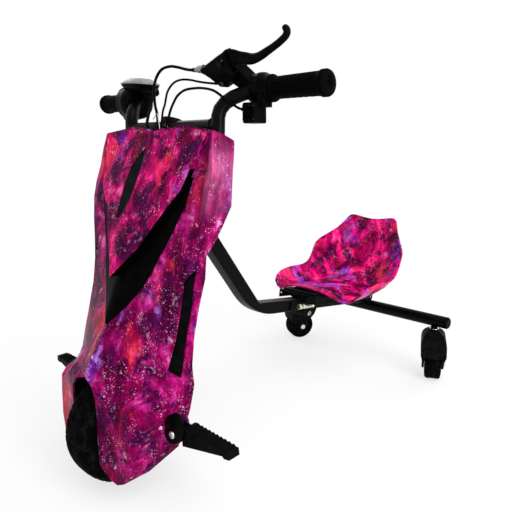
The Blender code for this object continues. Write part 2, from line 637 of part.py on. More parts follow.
# The hood's edge and the trim's edges in front view, and how far the hood stands off the shell
HOOD_EDGE = mm((138, 602), (130, 572), (121, 545), (117, 531), (112, 513), (89, 485), (66, 453), (44, 421),
               (22, 398), (0, 372))
HOOD_HEIGHT = mm((4, 604), (11, 524), (16, 448), (19, 372))
TRIM_INNER = mm((118, 531), (113, 512), (90, 484), (67, 452), (45, 420), (22.6, 397), (0, 371))
TRIM_OUTER = mm((123, 533), (118, 494), (105, 465), (90, 432), (77, 409), (67, 383), (49, 352), (21, 317),
                (0, 297))
SLIT = mm((-4, 577), (-15, 567), (-27, 553), (-34, 539), (-38.5, 522), (-39.5, 506), (-39, 486), (-38, 465),
          (-31, 461), (-24, 463), (-14, 480), (-7, 497), (-3.5, 511), (-2, 526), (-0.5, 548), (-1.5, 567))


def top_edge(x):
    return along(mm((0, 604), (72, 611), (148, 601)), abs(x), 0)[1]


def hood_point(x, z, depth=0.0):
    height = along(HOOD_HEIGHT, z)[0]
    return (x, front_y(x, z) - height + depth, z)


def make_hood():
    """The raised hood, a thin moulding whose rim stands on the shell, with its slit and its insert."""
    shares = [k / 3 for k in range(-3, 4)]
    heights = mm(602, 587, 572, 558, 545, 531, 513, 499, 485, 469, 453, 437, 421, 409, 398)
    rows = []
    for height in heights:
        half = along(HOOD_EDGE, height)[0]
        lift = (height - 0.572) / 0.030 if height > 0.572 else 0.0
        row = []
        for share in shares:
            x = half * share
            row.append((x, height + lift * (top_edge(x) - 0.602 - 0.0025)))
        rows.append(row)
    shape = bmesh.new()
    front = [[shape.verts.new(hood_point(x, z)) for x, z in row] for row in rows]
    tip = shape.verts.new(hood_point(0, HOOD_EDGE[-1][1]))
    for upper, lower in zip(front, front[1:]):
        for a, b, c, d in zip(upper, upper[1:], lower[1:], lower):
            shape.faces.new([a, b, c, d])
    for a, b in zip(front[-1], front[-1][1:]):
        shape.faces.new([a, b, tip])
    rim = front[0] + [row[-1] for row in front[1:]] + [tip] + [row[0] for row in reversed(front[1:])]
    foot = []
    for corner in rim:
        x, y, z = corner.co
        foot.append(shape.verts.new((x, front_y(x, z) - (0.0014 if z > 0.586 else 0.0006), z)))
    for i in range(len(rim)):
        shape.faces.new([rim[i - 1], rim[i], foot[i], foot[i - 1]])
    bmesh.ops.recalc_face_normals(shape, faces=shape.faces)
    if sum(face.normal.y for face in shape.faces) > 0:
        bmesh.ops.reverse_faces(shape, faces=shape.faces)
    hood = part("hood_panel", thickened(shape, "hood_panel", 0.0022), PRINTED, parent=STEERING)
    cut(hood, outline("slit", SLIT, 0.30), (0, 0, 0), FRONT_VIEW, STEERING)

    columns = [0.004 - 0.0110 * k for k in range(5)]
    rows = [[hood_point(x, z, 0.0012) for x in columns] for z in [0.585 - 0.0172 * k for k in range(9)]]
    vent = part("hood_vent", grid_sheet("hood_vent", rows, 0.002), BLACK_PLASTIC, parent=STEERING)
    keep_within(vent, outline("slit_inside", inset(SLIT, 0.0004), 0.30), (0, 0, 0), FRONT_VIEW, STEERING)


def inset(points, distance):
    """A closed outline moved inward; its points run either way round."""
    flat = [Vector(point) for point in points]
    area = sum(a.cross(b) for a, b in zip(flat, flat[1:] + flat[:1]))
    turn = 1 if area > 0 else -1
    result = []
    for i, point in enumerate(flat):
        before = (point - flat[i - 1]).normalized()
        after = (flat[(i + 1) % len(flat)] - point).normalized()
        inward = Vector((-(before.y + after.y), before.x + after.x)).normalized() * turn
        result.append(tuple(point + inward * distance))
    return result


def make_trim():
    """The black V below the hood and the inserts of the side slots."""
    inner = even(TRIM_INNER, 13)
    outer = even(TRIM_OUTER, 13)
    rows = []
    for share in [k / 3 for k in range(4)]:
        half = [(a[0] + (b[0] - a[0]) * share, a[1] + (b[1] - a[1]) * share) for a, b in zip(inner, outer)]
        flat = half + [(-x, z) for x, z in reversed(half[:-1])]
        rows.append([(x, front_y(x, z) - 0.0036, z) for x, z in flat])
    part("v_trim", grid_sheet("v_trim", rows, 0.003), BLACK_PLASTIC, parent=STEERING)
    for side, sign in SIDES.items():
        rows = []
        for row in [0.3735 - 0.0157 * k for k in range(9)]:
            facet = Vector(along(FACET_EDGE, row))
            edge = Vector(row_point(SIDE_FRONT, SIDE_ROWS, row))
            across = (edge - facet).normalized()
            inward = Vector((-across.y, across.x, 0)).normalized() * 0.0015
            start = facet + across * 0.0035 + inward
            end = edge - across * 0.0032 + inward
            rows.append([(sign * p.x, p.y, p.z) for p in (start, end)][::sign])
        part("side_vent_" + side, grid_sheet("side_vent_" + side, rows, 0.002), BLACK_PLASTIC,
             parent=STEERING)


def make_electrics():
    """The battery behind the column and the motor controller in front of it."""
    part("battery_case", block("battery_case", (0.090, 0.042, 0.165), 0.004), BLACK_PLASTIC,
         (0, 0.0387, 0.2475), parent=STEERING, local=True)
    part("controller_case", block("controller_case", (0.070, 0.020, 0.100), 0.002), ALUMINIUM,
         (0, -0.0276, 0.2500), parent=STEERING, local=True)


def make_pegs():
    """The folding pegs, their brackets on the fork legs and their hinge bolts."""
    x, y, z = PEG_PIVOT
    for side, sign in SIDES.items():
        pivot = guide("peg_axis_" + side, (sign * x, y, z), (0, 0, 0 if sign > 0 else math.pi), STEERING)
        held = {"parent": pivot, "local": True}
        bracket = part("peg_bracket_" + side, block("peg_bracket", (0.029, 0.026, 0.024), 0.004),
                       BLACK_PAINT, (-0.0055, 0, 0), **held)
        join(bracket, rod("arm_" + side, 0.0115, 0, 0.0610), (-0.0705, 0, 0), ALONG_X, **held)
        cut(bracket, block("fork_" + side, (0.0500, 0.0126, 0.040)), (0.0130, 0, 0), **held)
        cut(bracket, rod("bolt_hole_" + side, PEG_BOLT_RADIUS + GAP, -0.03, 0.03, 16), (0, 0, 0), ALONG_Y,
            **held)
        part("peg_bolt_" + side, turned("peg_bolt", [
            (0, 0.0175), (0.0060, 0.0175), (0.0060, 0.0133), (PEG_BOLT_RADIUS, 0.0133),
            (PEG_BOLT_RADIUS, -0.0165), (0, -0.0165)], 16), ZINC, (0, 0, 0), (sign * QUARTER, 0, 0), **held)
        teeth = []
        for k in range(10):
            start = 0.114 - 0.0092 * k
            height = 0.0050 + 0.0008 * k
            teeth += [(start, height), (start - 0.0046, height + 0.0028)]
        side_view = [*mm((17.5, -13.5), (106, -3.5), (109, -6.5), (120, -6), (120, 5)), *teeth,
                     *mm((17.5, 14))]
        peg = part("peg_" + side, outline("peg", side_view, 0.0280), BLACK_PLASTIC, (0, 0, 0),
                   (QUARTER, -PEG_TILT, 0), **held)
        keep_within(peg, outline("plan_" + side, mm((17, -14), (120.5, -10), (120.5, 10), (17, 14)), 0.08),
                    (0, 0, 0), (0, -PEG_TILT, 0), **held)
        knuckle = [*arc((0, 0), 0.0095, 90, 270, 10), (0.020, -0.0085), (0.020, 0.0085)]
        join(peg, outline("knuckle_" + side, knuckle, 0.0118), (0, 0, 0), (QUARTER, -PEG_TILT, 0), **held)
        cut(peg, rod("knuckle_hole_" + side, PEG_BOLT_RADIUS + GAP, -0.03, 0.03, 16), (0, 0, 0), ALONG_Y,
            **held)


# The seat's cage, left half: centre, thigh, hip and edge of each station from front lip to top
SEAT_STATIONS = [
    mm((0, 483, 248), (60, 489, 245), (98, 508, 214), (131, 514, 238)),
    mm((0, 530, 242), (62, 530, 244), (100, 530, 207), (139, 545, 258)),
    mm((0, 600, 232), (60, 600, 231), (102, 600, 203), (141, 600, 260)),
    mm((0, 660, 231), (52, 660, 227), (100, 660, 209), (141, 645, 253)),
    mm((0, 708, 241), (50, 703, 236), (100, 692, 228), (140, 676, 263)),
    mm((0, 746, 277), (50, 741, 274), (103, 716, 270), (140, 694, 302)),
    mm((0, 764, 320), (50, 758, 320), (106, 735, 326), (139, 708, 322)),
    mm((0, 776, 352), (40, 773, 353), (72, 765, 355), (90, 756, 352)),
    mm((0, 785, 380), (35, 784, 384), (60, 781, 390), (78, 778, 388)),
]


def make_seat():
    """The moulded seat, its pressed tray on the tube, and the clamp that lets it slide."""
    rows = []
    for station in reversed(SEAT_STATIONS):
        rows.append([(-x, y, z) for x, y, z in reversed(station[1:])] + list(station))
    part("seat_shell", grid_sheet("seat_shell", rows, SEAT_THICKNESS, 1), PRINTED, parent=SEAT)
    held = {"parent": SEAT, "local": True}
    below = 0.0160
    tray = mm((-55, -19), (-52.5, -19), (-52.5, -2.5), (52.5, -2.5), (52.5, -19), (55, -19), (55, 0),
              (-55, 0))
    support = part("seat_support", outline("seat_support", tray, 0.160), BLACK_PAINT, (0, 0.0800, -0.0045),
                   FRONT_VIEW, **held)
    join(support, block("saddle", (0.0370, 0.110, below - 0.0050 - GAP)),
         (0, 0.0650, -(below + 0.0050) / 2 + GAP / 2), **held)
    for side, sign in SIDES.items():
        join(support, block("cheek_" + side, (0.0030, 0.034, 0.052)), (sign * 0.0170, 0.0270, -0.0330),
             **held)
    under = below + TUBE_DEPTH + GAP
    cut(support, rod("bolt_hole_seat", 0.0033, -0.03, 0.03, 16), (0, 0.0270, -under - 0.0065), ALONG_X,
        **held)
    clamp = part("seat_clamp", block("seat_clamp", (0.0300, 0.030, 0.0120), 0.001), BLACK_PAINT,
                 (0, 0.0270, -under - 0.0063), **held)
    cut(clamp, rod("bolt_hole_clamp", 0.0033, -0.03, 0.03, 16), (0, 0.0270, -under - 0.0065), ALONG_X,
        **held)
    part("seat_clamp_bolt", turned("seat_clamp_bolt", [
        (0, 0.0235), (0.0055, 0.0235), (0.0060, 0.0190), (0.0030, 0.0190), (0.0030, -0.0230), (0, -0.0230)],
        16), ZINC, (0, 0.0270, -under - 0.0065), ALONG_X, **held)


def make_casters():
    """The hooded caster forks with their stems, and the wheels on their axles."""
    for side, sign in SIDES.items():
        swivel = guide("caster_axis_" + side, (sign * CASTER_X, CROSSBAR_Y, 0), (0, 0, sign * CASTER_TURN))
        held = {"parent": swivel, "local": True}
        half_front = mm((8, 120), (14, 117.5), (22, 113), (28.5, 105), (31, 94), (31, 68), (28.5, 61),
                        (27, 52), (27, 24))
        front = half_front + tuple((-x, z) for x, z in reversed(half_front))
        hood = part("caster_fork_" + side, outline("caster_fork", front, 0.120), BLACK_PLASTIC,
                    (0, -0.020, 0), FRONT_VIEW, **held)
        profile = [*mm((17, 120), (19, 104), (6, 76), (-12, 56), (-18, 36)),
                   *arc((-CASTER_TRAIL, CASTER_WHEEL_RADIUS), 0.0140, -15, -165, 6),
                   *mm((-50, 44), (-66, 58), (-68, 76), (-60, 94), (-44, 108), (-18, 120))]
        keep_within(hood, outline("side_" + side, profile, 0.10), (0, 0, 0), SIDE_VIEW, **held)
        slot = [*arc((-CASTER_TRAIL, CASTER_WHEEL_RADIUS), CASTER_WHEEL_RADIUS + 0.0040, 0, 180, 12),
                *mm((-75, -10), (13, -10))]
        cut(hood, outline("wheel_slot_" + side, slot, CASTER_WHEEL_WIDTH + 0.0030), (0, 0, 0), SIDE_VIEW,
            **held)
        join(hood, turned("stem_" + side, [
            (0, 0.1500), (0.0060, 0.1500), (0.0060, 0.1268), (0.0085, 0.1268), (0.0085, 0.1100),
            (0, 0.1100)], 24), (0, 0, 0), **held)
        axle = (0, -CASTER_TRAIL, CASTER_WHEEL_RADIUS), ALONG_X
        cut(hood, rod("axle_hole_" + side, 0.0043, -0.05, 0.05, 16), *axle, **held)
        half = CASTER_WHEEL_WIDTH / 2
        tread = [(0.0300, half), (0.0360, half - 0.0015), (CASTER_WHEEL_RADIUS, half - 0.0070)]
        part("caster_wheel_" + side, turned("caster_wheel", [
            (0.0043, half), *tread, *[(r, -x) for r, x in reversed(tread)], (0.0043, -half)], 24), RUBBER,
            *axle, **held)
        part("caster_axle_" + side, turned("caster_axle", [
            (0, 0.0310), (0.0070, 0.0310), (0.0070, 0.0273), (0.0040, 0.0273), (0.0040, -0.0273),
            (0, -0.0273)], 12), ZINC, *axle, **held)


# The cables' routes, each from the handlebar to where it ends inside the fairing
BRAKE_ROUTE = mm((55.8, 138.5, 697.9), (40, 140, 699.5), (24, 141, 702.5), (6, 140, 707), (-11, 138, 709.5),
                 (-28, 134, 706.5), (-38, 130, 696), (-42, 126, 681), (-38, 122, 664), (-30, 117, 646),
                 (-17, 111, 630), (-7, 104, 608), (-6, 98, 590), (-6, 91.5, 575), (-6, 79, 530),
                 (-6, 65, 480), (1, 61, 450), (18, 62, 428), (38, 61, 402), (48, 56, 370), (52, 53, 335),
                 (53, 61, 305), (54, 75, 272), (52, 86, 242), (46, 90, 212), (40, 84, 174),
                 (38.5, 72.7, 154.6), (38.5, 60.6, 147.6))
SENSOR_ROUTE = mm((98.6, 150, 676.5), (90, 149.4, 675.6), (73, 147, 677.5), (52, 145.5, 681),
                  (34, 144, 684.8), (17, 140, 686.3), (4.5, 135, 683), (-3, 130, 675), (-4.5, 124, 664),
                  (-2, 117, 646), (1, 110, 634), (4, 103.5, 612), (4, 98, 592), (4, 91.5, 575),
                  (4, 79, 530), (5, 65, 480), (10, 51, 430), (14, 46.5, 400))
SWITCH_ROUTE = mm((150.2, 144.9, 634), (147.5, 137, 638), (138, 126, 648), (120, 121, 660),
                  (98, 120, 665.2), (75, 120, 667), (52, 118, 665.5), (37, 115, 658), (30, 112, 648),
                  (26, 107, 634), (20, 102, 610), (15, 97, 590), (14, 91.5, 575), (15, 79, 530),
                  (17, 65, 480), (23, 51, 430), (25, 46.5, 400))
THROTTLE_ROUTE = mm((-156, 152, 684), (-164, 147, 686), (-180, 144, 683), (-192, 145, 674),
                    (-198, 147, 664), (-200, 150, 652), (-197, 155, 639), (-190, 158, 627),
                    (-178, 157, 614), (-166, 154, 604), (-150, 148, 597),
                    (-122, 144, 586), (-95, 137, 578), (-66, 118, 570), (-44, 98, 552), (-32, 80, 510),
                    (-27, 62, 460), (-24, 51, 430), (-22, 46.5, 400))
DISPLAY_ROUTE = mm((-121, 168, 682), (-108, 164, 682), (-92, 154, 674), (-78, 144, 660), (-66, 132, 646),
                   (-54, 119, 632), (-42, 107, 616), (-30, 101, 600), (-22, 92.5, 575), (-18, 79, 530),
                   (-16, 65, 480), (-13, 51, 430), (-12, 46.5, 400))


def make_cables():
    """The brake cable down to the caliper, and four wires into the controller's top."""
    cables = {"brake_cable": (BRAKE_ROUTE, 0.0024), "sensor_cable": (SENSOR_ROUTE, 0.0018),
              "switch_cable": (SWITCH_ROUTE, 0.0020), "throttle_cable": (THROTTLE_ROUTE, 0.0018),
              "display_cable": (DISPLAY_ROUTE, 0.0026)}
    for name, (route, radius) in cables.items():
        part(name, pipe(name, smooth_route(route, 0.0160), radius, 2), CABLE_JACKET, parent=STEERING)


def stand_on_floor():
    """Tips the finished kart forward about the casters' contact points, and moves it over its origin."""
    contact = CROSSBAR_Y - CASTER_TRAIL * math.cos(CASTER_TURN)
    stance = guide("stance", (0, contact, 0))
    for piece in [*PARTS.objects, *CUTTERS.objects]:
        if piece.parent is None and piece is not stance:
            piece.parent = stance
            piece.matrix_parent_inverse = stance.matrix_world.inverted()
    stance.rotation_euler = (FORWARD_TIP, 0, 0)
    stance.location = (0, contact + ORIGIN_SHIFT[0], ORIGIN_SHIFT[1])
    bpy.context.view_layer.update()


make_frame()
make_headset()
make_column()
make_fork()
make_front_wheel()
make_brake_caliper()
make_handlebar()
make_brake_lever()
make_switch()
make_throttle()
make_fairing()
make_hood()
make_trim()
make_electrics()
make_pegs()
make_seat()
make_casters()
make_cables()
stand_on_floor()
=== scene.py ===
"""Dresses the drift kart: its print, plastics, rubber and metal, with the parts too fine for the solids."""
import math

import bmesh
import bpy
from bpy.props import FloatProperty, FloatVectorProperty, IntProperty, PointerProperty
from mathutils import Matrix, Vector


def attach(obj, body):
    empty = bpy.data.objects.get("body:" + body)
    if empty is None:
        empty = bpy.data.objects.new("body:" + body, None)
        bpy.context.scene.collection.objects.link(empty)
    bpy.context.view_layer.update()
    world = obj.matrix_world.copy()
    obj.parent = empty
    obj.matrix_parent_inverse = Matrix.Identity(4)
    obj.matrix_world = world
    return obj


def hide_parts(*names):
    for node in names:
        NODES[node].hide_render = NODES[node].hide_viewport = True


bl_info = {
    "name": "Drift Kart Dressing",
    "version": (1, 0, 0),
    "blender": (4, 5, 0),
    "location": "View3D > Sidebar > Drift Kart",
    "description": "Builds the looks of a three wheeled electric drift kart around its solids",
    "category": "Object",
}

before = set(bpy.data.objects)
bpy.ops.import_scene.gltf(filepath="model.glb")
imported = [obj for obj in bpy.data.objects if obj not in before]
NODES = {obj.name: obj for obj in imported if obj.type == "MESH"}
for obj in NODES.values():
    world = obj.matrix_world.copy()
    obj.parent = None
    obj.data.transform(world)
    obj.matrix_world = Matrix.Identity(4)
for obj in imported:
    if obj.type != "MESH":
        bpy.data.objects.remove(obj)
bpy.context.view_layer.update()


def mm(*values):
    """Millimetres to metres, for one point or several."""
    if isinstance(values[0], tuple):
        return [mm(*value) for value in values]
    return tuple(value / 1000 for value in values)


# The kart's own lines, as its source draws them
QUARTER = math.pi / 2
SIDES = {"left": 1, "right": -1}
RAKE = math.radians(14.0)
STEERING_HEIGHT = 0.100
FORWARD_TIP = math.radians(1.15)
ORIGIN_SHIFT = (-0.3432, 0.0001)
AXLE_HEIGHT = 0.0150
BRIDGE_HEIGHT = 0.5225
BATTERY_BEHIND = 0.0387
STRAP_HEIGHTS = (0.2020, 0.2930)
GRIP_Y = 0.179
GRIP_Z = 0.664
CROSSBAR_Y = 0.757
CROSSBAR_Z = 0.142
CROSSBAR_RADIUS = 0.015
HEAD_TUBE_RADIUS = 0.018
TUBE_CORNER = (0.0, 0.3195, 0.2529)
TUBE_WIDTH = 0.030
TUBE_DEPTH = 0.0276
TUBE_STEEP = math.radians(55.4)
TUBE_SHALLOW = math.radians(9.26)
CASTER_X = 0.208
CASTER_TRAIL = 0.031
CASTER_TURN = math.radians(27.0)
CASTER_WHEEL_RADIUS = 0.039
LEVER_PIVOT = (0.130, 0.135, 0.704)
LEVER_LEAN = math.radians(120.0)
# Each screw's radius and height, and its place from the lever's pin
PERCH_SCREWS = {"perch_strap_screw": ((0.0042, 0.0030), (0.030, -0.047, -0.0064)),
                "perch_switch_screw": ((0.0036, 0.0026), (-0.014, -0.030, 0.0111)),
                "reach_screw": ((0.0024, 0.0022), (0.006, 0.0040, 0.0111))}
SEAT_FRONT = (0.0, 0.458, 0.2465)
SEAT_SPINDLE = (0.0242, -0.0190, -0.0315)
SEAT_RIVET = (-0.0480, -0.0002, -0.0120)
LEFT_GRIP_X = 0.1905
TWIST_GRIP_X = -0.250
SWITCH_FACE = (0.1660, 0.1470, 0.6275)
SWITCH_CLAMP_X = 0.1690
THROTTLE_BARREL = (-0.1600, 0.1600, 0.6590)
HOUSING_SEAM_X = -0.1810
DISPLAY_PLACE = (-0.1370, 0.1600, 0.6915)
DISPLAY_TILT = 0.07
AXLE_NUT_X = 0.0593
# On the left: the bolt on the peg's cheek, the shell's hole round the peg, the shell's screw, and where
# the last two face
CHEEK_BOLT = (0.1420, -0.0036, 0.1472)
PEG_HOLE = (0.1222, 0.0160, 0.1430)
PEG_HOLE_FACES = (0.950, -0.200, -0.220)
SHELL_SCREW = (0.1190, -0.0080, 0.1520)
SHELL_SCREW_FACES = (0.930, -0.310, -0.200)


def turn(angle, axis):
    return Matrix.Rotation(angle, 4, axis)


def shift(*place):
    return Matrix.Translation(place)


def facing(*heading):
    """The turn that points Z along a heading."""
    return Vector(heading).to_track_quat("Z", "Y").to_matrix().to_4x4()


CASTER_CONTACT = CROSSBAR_Y - CASTER_TRAIL * math.cos(CASTER_TURN)
STANCE = (shift(0, CASTER_CONTACT + ORIGIN_SHIFT[0], ORIGIN_SHIFT[1]) @ turn(FORWARD_TIP, "X")
          @ shift(0, -CASTER_CONTACT, 0))
STEERING = STANCE @ shift(0, 0, STEERING_HEIGHT) @ turn(-RAKE, "X")
AXLE = shift(*(STEERING @ Vector((0, 0, AXLE_HEIGHT))))
ACROSS = turn(QUARTER, "Y")
LEVER = STANCE @ shift(*LEVER_PIVOT) @ turn(LEVER_LEAN, "X")
SEAT = STANCE @ shift(*SEAT_FRONT) @ turn(-TUBE_SHALLOW, "X")

BRAKE_ROUTE = mm((55.8, 138.5, 697.9), (40, 140, 699.5), (24, 141, 702.5), (6, 140, 707), (-11, 138, 709.5),
                 (-28, 134, 706.5), (-38, 130, 696), (-42, 126, 681), (-38, 122, 664), (-30, 117, 646),
                 (-17, 111, 630), (-7, 104, 608), (-6, 98, 590), (-6, 91.5, 575), (-6, 79, 530),
                 (-6, 65, 480), (1, 61, 450), (18, 62, 428), (38, 61, 402), (48, 56, 370), (52, 53, 335),
                 (53, 61, 305), (54, 75, 272), (52, 86, 242), (46, 90, 212), (40, 84, 174),
                 (38.5, 72.7, 154.6), (38.5, 60.6, 147.6))
SENSOR_ROUTE = mm((98.6, 150, 676.5), (90, 149.4, 675.6), (73, 147, 677.5), (52, 145.5, 681),
                  (34, 144, 684.8), (17, 140, 686.3), (4.5, 135, 683), (-3, 130, 675), (-4.5, 124, 664),
                  (-2, 117, 646), (1, 110, 634), (4, 103.5, 612), (4, 98, 592), (4, 91.5, 575),
                  (4, 79, 530), (5, 65, 480), (10, 51, 430), (14, 46.5, 400))
SWITCH_ROUTE = mm((158, 150, 632), (150.2, 144.9, 634), (147.5, 137, 638), (138, 126, 648), (120, 121, 660),
                  (98, 120, 665.2), (75, 120, 667), (52, 118, 665.5), (37, 115, 658), (30, 112, 648),
                  (26, 107, 634), (20, 102, 610), (15, 97, 590), (14, 91.5, 575), (15, 79, 530),
                  (17, 65, 480), (23, 51, 430), (25, 46.5, 400))
THROTTLE_ROUTE = mm((-156, 152, 684), (-164, 147, 686), (-180, 144, 683), (-192, 145, 674),
                    (-198, 147, 664), (-200, 150, 652), (-197, 155, 639), (-190, 158, 627),
                    (-178, 157, 614), (-166, 154, 604), (-150, 148, 597), (-122, 144, 586), (-95, 137, 578),
                    (-66, 118, 570), (-44, 98, 552), (-32, 80, 510), (-27, 62, 460), (-24, 51, 430),
                    (-22, 46.5, 400))
DISPLAY_ROUTE = mm((-121, 168, 682), (-108, 164, 682), (-92, 154, 674), (-78, 144, 660), (-66, 132, 646),
                   (-54, 119, 632), (-42, 107, 616), (-30, 101, 600), (-22, 92.5, 575), (-18, 79, 530),
                   (-16, 65, 480), (-13, 51, 430), (-12, 46.5, 400))
# Each cable's route, radius and the length of its boot
CABLES = {"brake_cable": (BRAKE_ROUTE, 0.0024, 0.010), "sensor_cable": (SENSOR_ROUTE, 0.0018, 0.010),
          "switch_cable": (SWITCH_ROUTE, 0.0020, 0.008), "throttle_cable": (THROTTLE_ROUTE, 0.0018, 0.008),
          "display_cable": (DISPLAY_ROUTE, 0.0026, 0.010)}
# Half of the front tyre's section: radius and distance from its middle
TYRE_SECTION = mm((66.4, 18.8), (70, 24.5), (74, 27.9), (79, 29.5), (84, 29.9), (88, 29.4), (92, 28.2),
                  (95.2, 25.2), (97.2, 22.4), (98.7, 17.5), (99.6, 11.5), (99.9, 5.5), (99.9, 0))
# The wire that ties the cables together
SILVER_TIE = mm((-31, 112, 623), (-22, 110.5, 628), (-13, 109, 631), (-8, 107, 622), (0, 103, 606),
                (3, 100, 597))

# The hood's edge in front view, and where its wall turns black beside the V
HOOD_EDGE = mm((138, 602), (130, 572), (121, 545), (117, 531), (112, 513), (89, 485), (66, 453), (44, 421),
               (22, 398), (0, 372))
HOOD_WALL_TOP = 0.545
HOOD_WALL_REACH = 0.014
HOOD_WALL_FACING = 0.62

# The front cheek of the left peg's bracket, in front view
PEG_CHEEK = mm((120, 143), (122, 158), (127, 169), (136, 178), (150, 184.5), (162, 181), (167, 170),
               (166, 156), (160, 142), (150, 133), (138, 129), (125, 131))
PEG_CHEEK_MIDDLE = (0.143, 0.157)

# The side slots' front and rear edges on the left half
SLOT_FRONT = mm((137, 44, 408), (132, 39, 378), (130, 31, 336), (130, 19, 291), (127, 4, 245),
                (123, -8, 212))
SLOT_REAR = mm((144.5, 58, 408), (143, 55, 397), (140, 46, 336), (140, 34, 291), (139, 20, 228),
               (137, 15, 212))
LINER_TOP = 0.4040
LINER_HEIGHT = 0.1800
LINER_MARGIN = 0.0040
LINER_DEPTHS = (0.0036, 0.0050)

# The shell's middle line leans back with height; faces that look this much at it are inside
SHELL_MIDDLE_Y = 0.030
SHELL_MIDDLE_LEAN = 0.25
INSIDE_FACING = -0.25
# Edges of a piece that turn by more degrees than this stay sharp
SHARP_FROM = 35

# The camera that matches the photograph, in metres, degrees and millimetres of lens
CAMERA_PLACE = (0.7366, -0.76407, 0.55523)
CAMERA_ANGLES = (78.5312, -0.7506, 40.7443)
CAMERA_LENS = 35.508
CAMERA_SHIFT = (-0.07363, 0.00098)
SENSOR_WIDTH = 36.0
# Each soft lamp's place, width and share of the lamp power
LAMPS = {"key_lamp": ((1.5, -0.5, 2.3), 1.8, 1.0), "left_lamp": ((-2.2, 0.5, 1.7), 1.6, 0.4),
         "side_lamp": ((2.4, -0.2, 0.9), 1.2, 1.25), "back_lamp": ((0.6, 2.4, 1.6), 1.6, 0.45)}
LAMP_TARGET = (0, 0, 0.3)
SURROUND_LIGHT = 0.62
FLOOR_HALF = 9.0
# How much of the floor's white is its own: near the kart, away from it, and the two distances
FLOOR_GLOW = (0.62, 1.0)
FLOOR_GLOW_REACH = (0.30, 1.2)


# Small mesh tools

def point_at_height(line, height):
    """The point of a line at a height; the line runs downward."""
    for above, below in zip(line, line[1:]):
        if above[2] >= height >= below[2]:
            share = (above[2] - height) / (above[2] - below[2])
            return tuple(a + (b - a) * share for a, b in zip(above, below))
    return line[-1]


def width_at_height(line, height):
    """Half width of an edge at a height; the line runs downward."""
    for (x, top), (below, bottom) in zip(line, line[1:]):
        if top >= height >= bottom:
            return x + (below - x) * (top - height) / (top - bottom)
    return line[0][0] if height > line[0][1] else line[-1][0]


def ring(radius, height, steps, shape=None):
    """One closed loop round Z. shape changes the radius by angle."""
    points = []
    for k in range(steps):
        angle = 2 * math.pi * k / steps
        reach = radius if shape is None else shape(radius, angle)
        points.append(Vector((reach * math.cos(angle), reach * math.sin(angle), height)))
    return points


def skin(loops, closed=False):
    """A closed body through loops of equal count. Its ends are capped, or it runs round into itself."""
    shape = bmesh.new()
    rows = [[shape.verts.new(point) for point in loop] for loop in loops]
    count = len(rows[0])
    pairs = list(zip(rows, rows[1:]))
    if closed:
        pairs.append((rows[-1], rows[0]))
    for lower, upper in pairs:
        for k in range(count):
            after = (k + 1) % count
            shape.faces.new([lower[k], lower[after], upper[after], upper[k]])
    if not closed:
        shape.faces.new(rows[0][::-1])
        shape.faces.new(rows[-1])
    bmesh.ops.recalc_face_normals(shape, faces=shape.faces)
    return shape


def turned(profile, steps=40):
    """A body of revolution about Z from an open profile of radius and height."""
    return skin([ring(max(radius, 0.00002), height, steps) for radius, height in profile])


def block(size, width=0.0):
    """A box, with its edges rounded where a width is given."""
    shape = bmesh.new()
    bmesh.ops.create_cube(shape, size=1.0, matrix=Matrix.Diagonal((*size, 1.0)))
    if width:
        bmesh.ops.bevel(shape, geom=list(shape.edges), offset=width, segments=2, profile=0.5,
                        affect="EDGES", clamp_overlap=True)
    return shape


def arc(centre, radius, start, end, steps):
    """Points along an arc, from one angle in degrees to another."""
    angles = [math.radians(start + (end - start) * k / steps) for k in range(steps + 1)]
    return [(centre[0] + radius * math.cos(a), centre[1] + radius * math.sin(a)) for a in angles]


def flowing(points, parts=5, closed=False):
    """A smooth line through points, with so many parts between two of them."""
    points = [Vector(point) for point in points]
    count = len(points)
    line = []
    for k in range(count if closed else count - 1):
        if closed:
            a, b, c, d = (points[(k + step) % count] for step in (-1, 0, 1, 2))
        else:
            a, b, c, d = (points[min(max(k + step, 0), count - 1)] for step in (-1, 0, 1, 2))
        for part in range(parts):
            t = part / parts
            line.append(0.5 * (2 * b + (c - a) * t + (2 * a - 5 * b + 4 * c - d) * t ** 2
                               + (3 * b - a - 3 * c + d) * t ** 3))
    return line if closed else line + [points[-1]]


def swept(line, radius, steps=10, closed=False):
    """A round body along a line. radius is a number or gives one for each share of the line."""
    size = radius if callable(radius) else lambda share: radius
    count = len(line)
    loops = []
    side = None
    for k, point in enumerate(line):
        before = line[k - 1] if closed or k else point
        after = line[(k + 1) % count] if closed or k + 1 < count else point
        along = (after - before).normalized()
        if side is None:
            side = along.orthogonal().normalized()
        side = (side - along * side.dot(along)).normalized()
        other = along.cross(side)
        reach = size(k / (count - 1))
        angles = [2 * math.pi * step / steps for step in range(steps)]
        loops.append([point + side * (reach * math.cos(a)) + other * (reach * math.sin(a)) for a in angles])
    return skin(loops, closed)


def gathered(shape, places):
    """Copies of one body at several places, as one body."""
    mesh = bpy.data.meshes.new("copies")
    shape.to_mesh(mesh)
    shape.free()
    whole = bmesh.new()
    for place in places:
        one = mesh.copy()
        one.transform(place)
        whole.from_mesh(one)
        bpy.data.meshes.remove(one)
    bpy.data.meshes.remove(mesh)
    return whole


def together(*shapes):
    """Several bodies as one."""
    whole = bmesh.new()
    for shape in shapes:
        mesh = bpy.data.meshes.new("piece")
        shape.to_mesh(mesh)
        shape.free()
        whole.from_mesh(mesh)
        bpy.data.meshes.remove(mesh)
    return whole


def moved(shape, place):
    bmesh.ops.transform(shape, matrix=place, verts=shape.verts)
    return shape


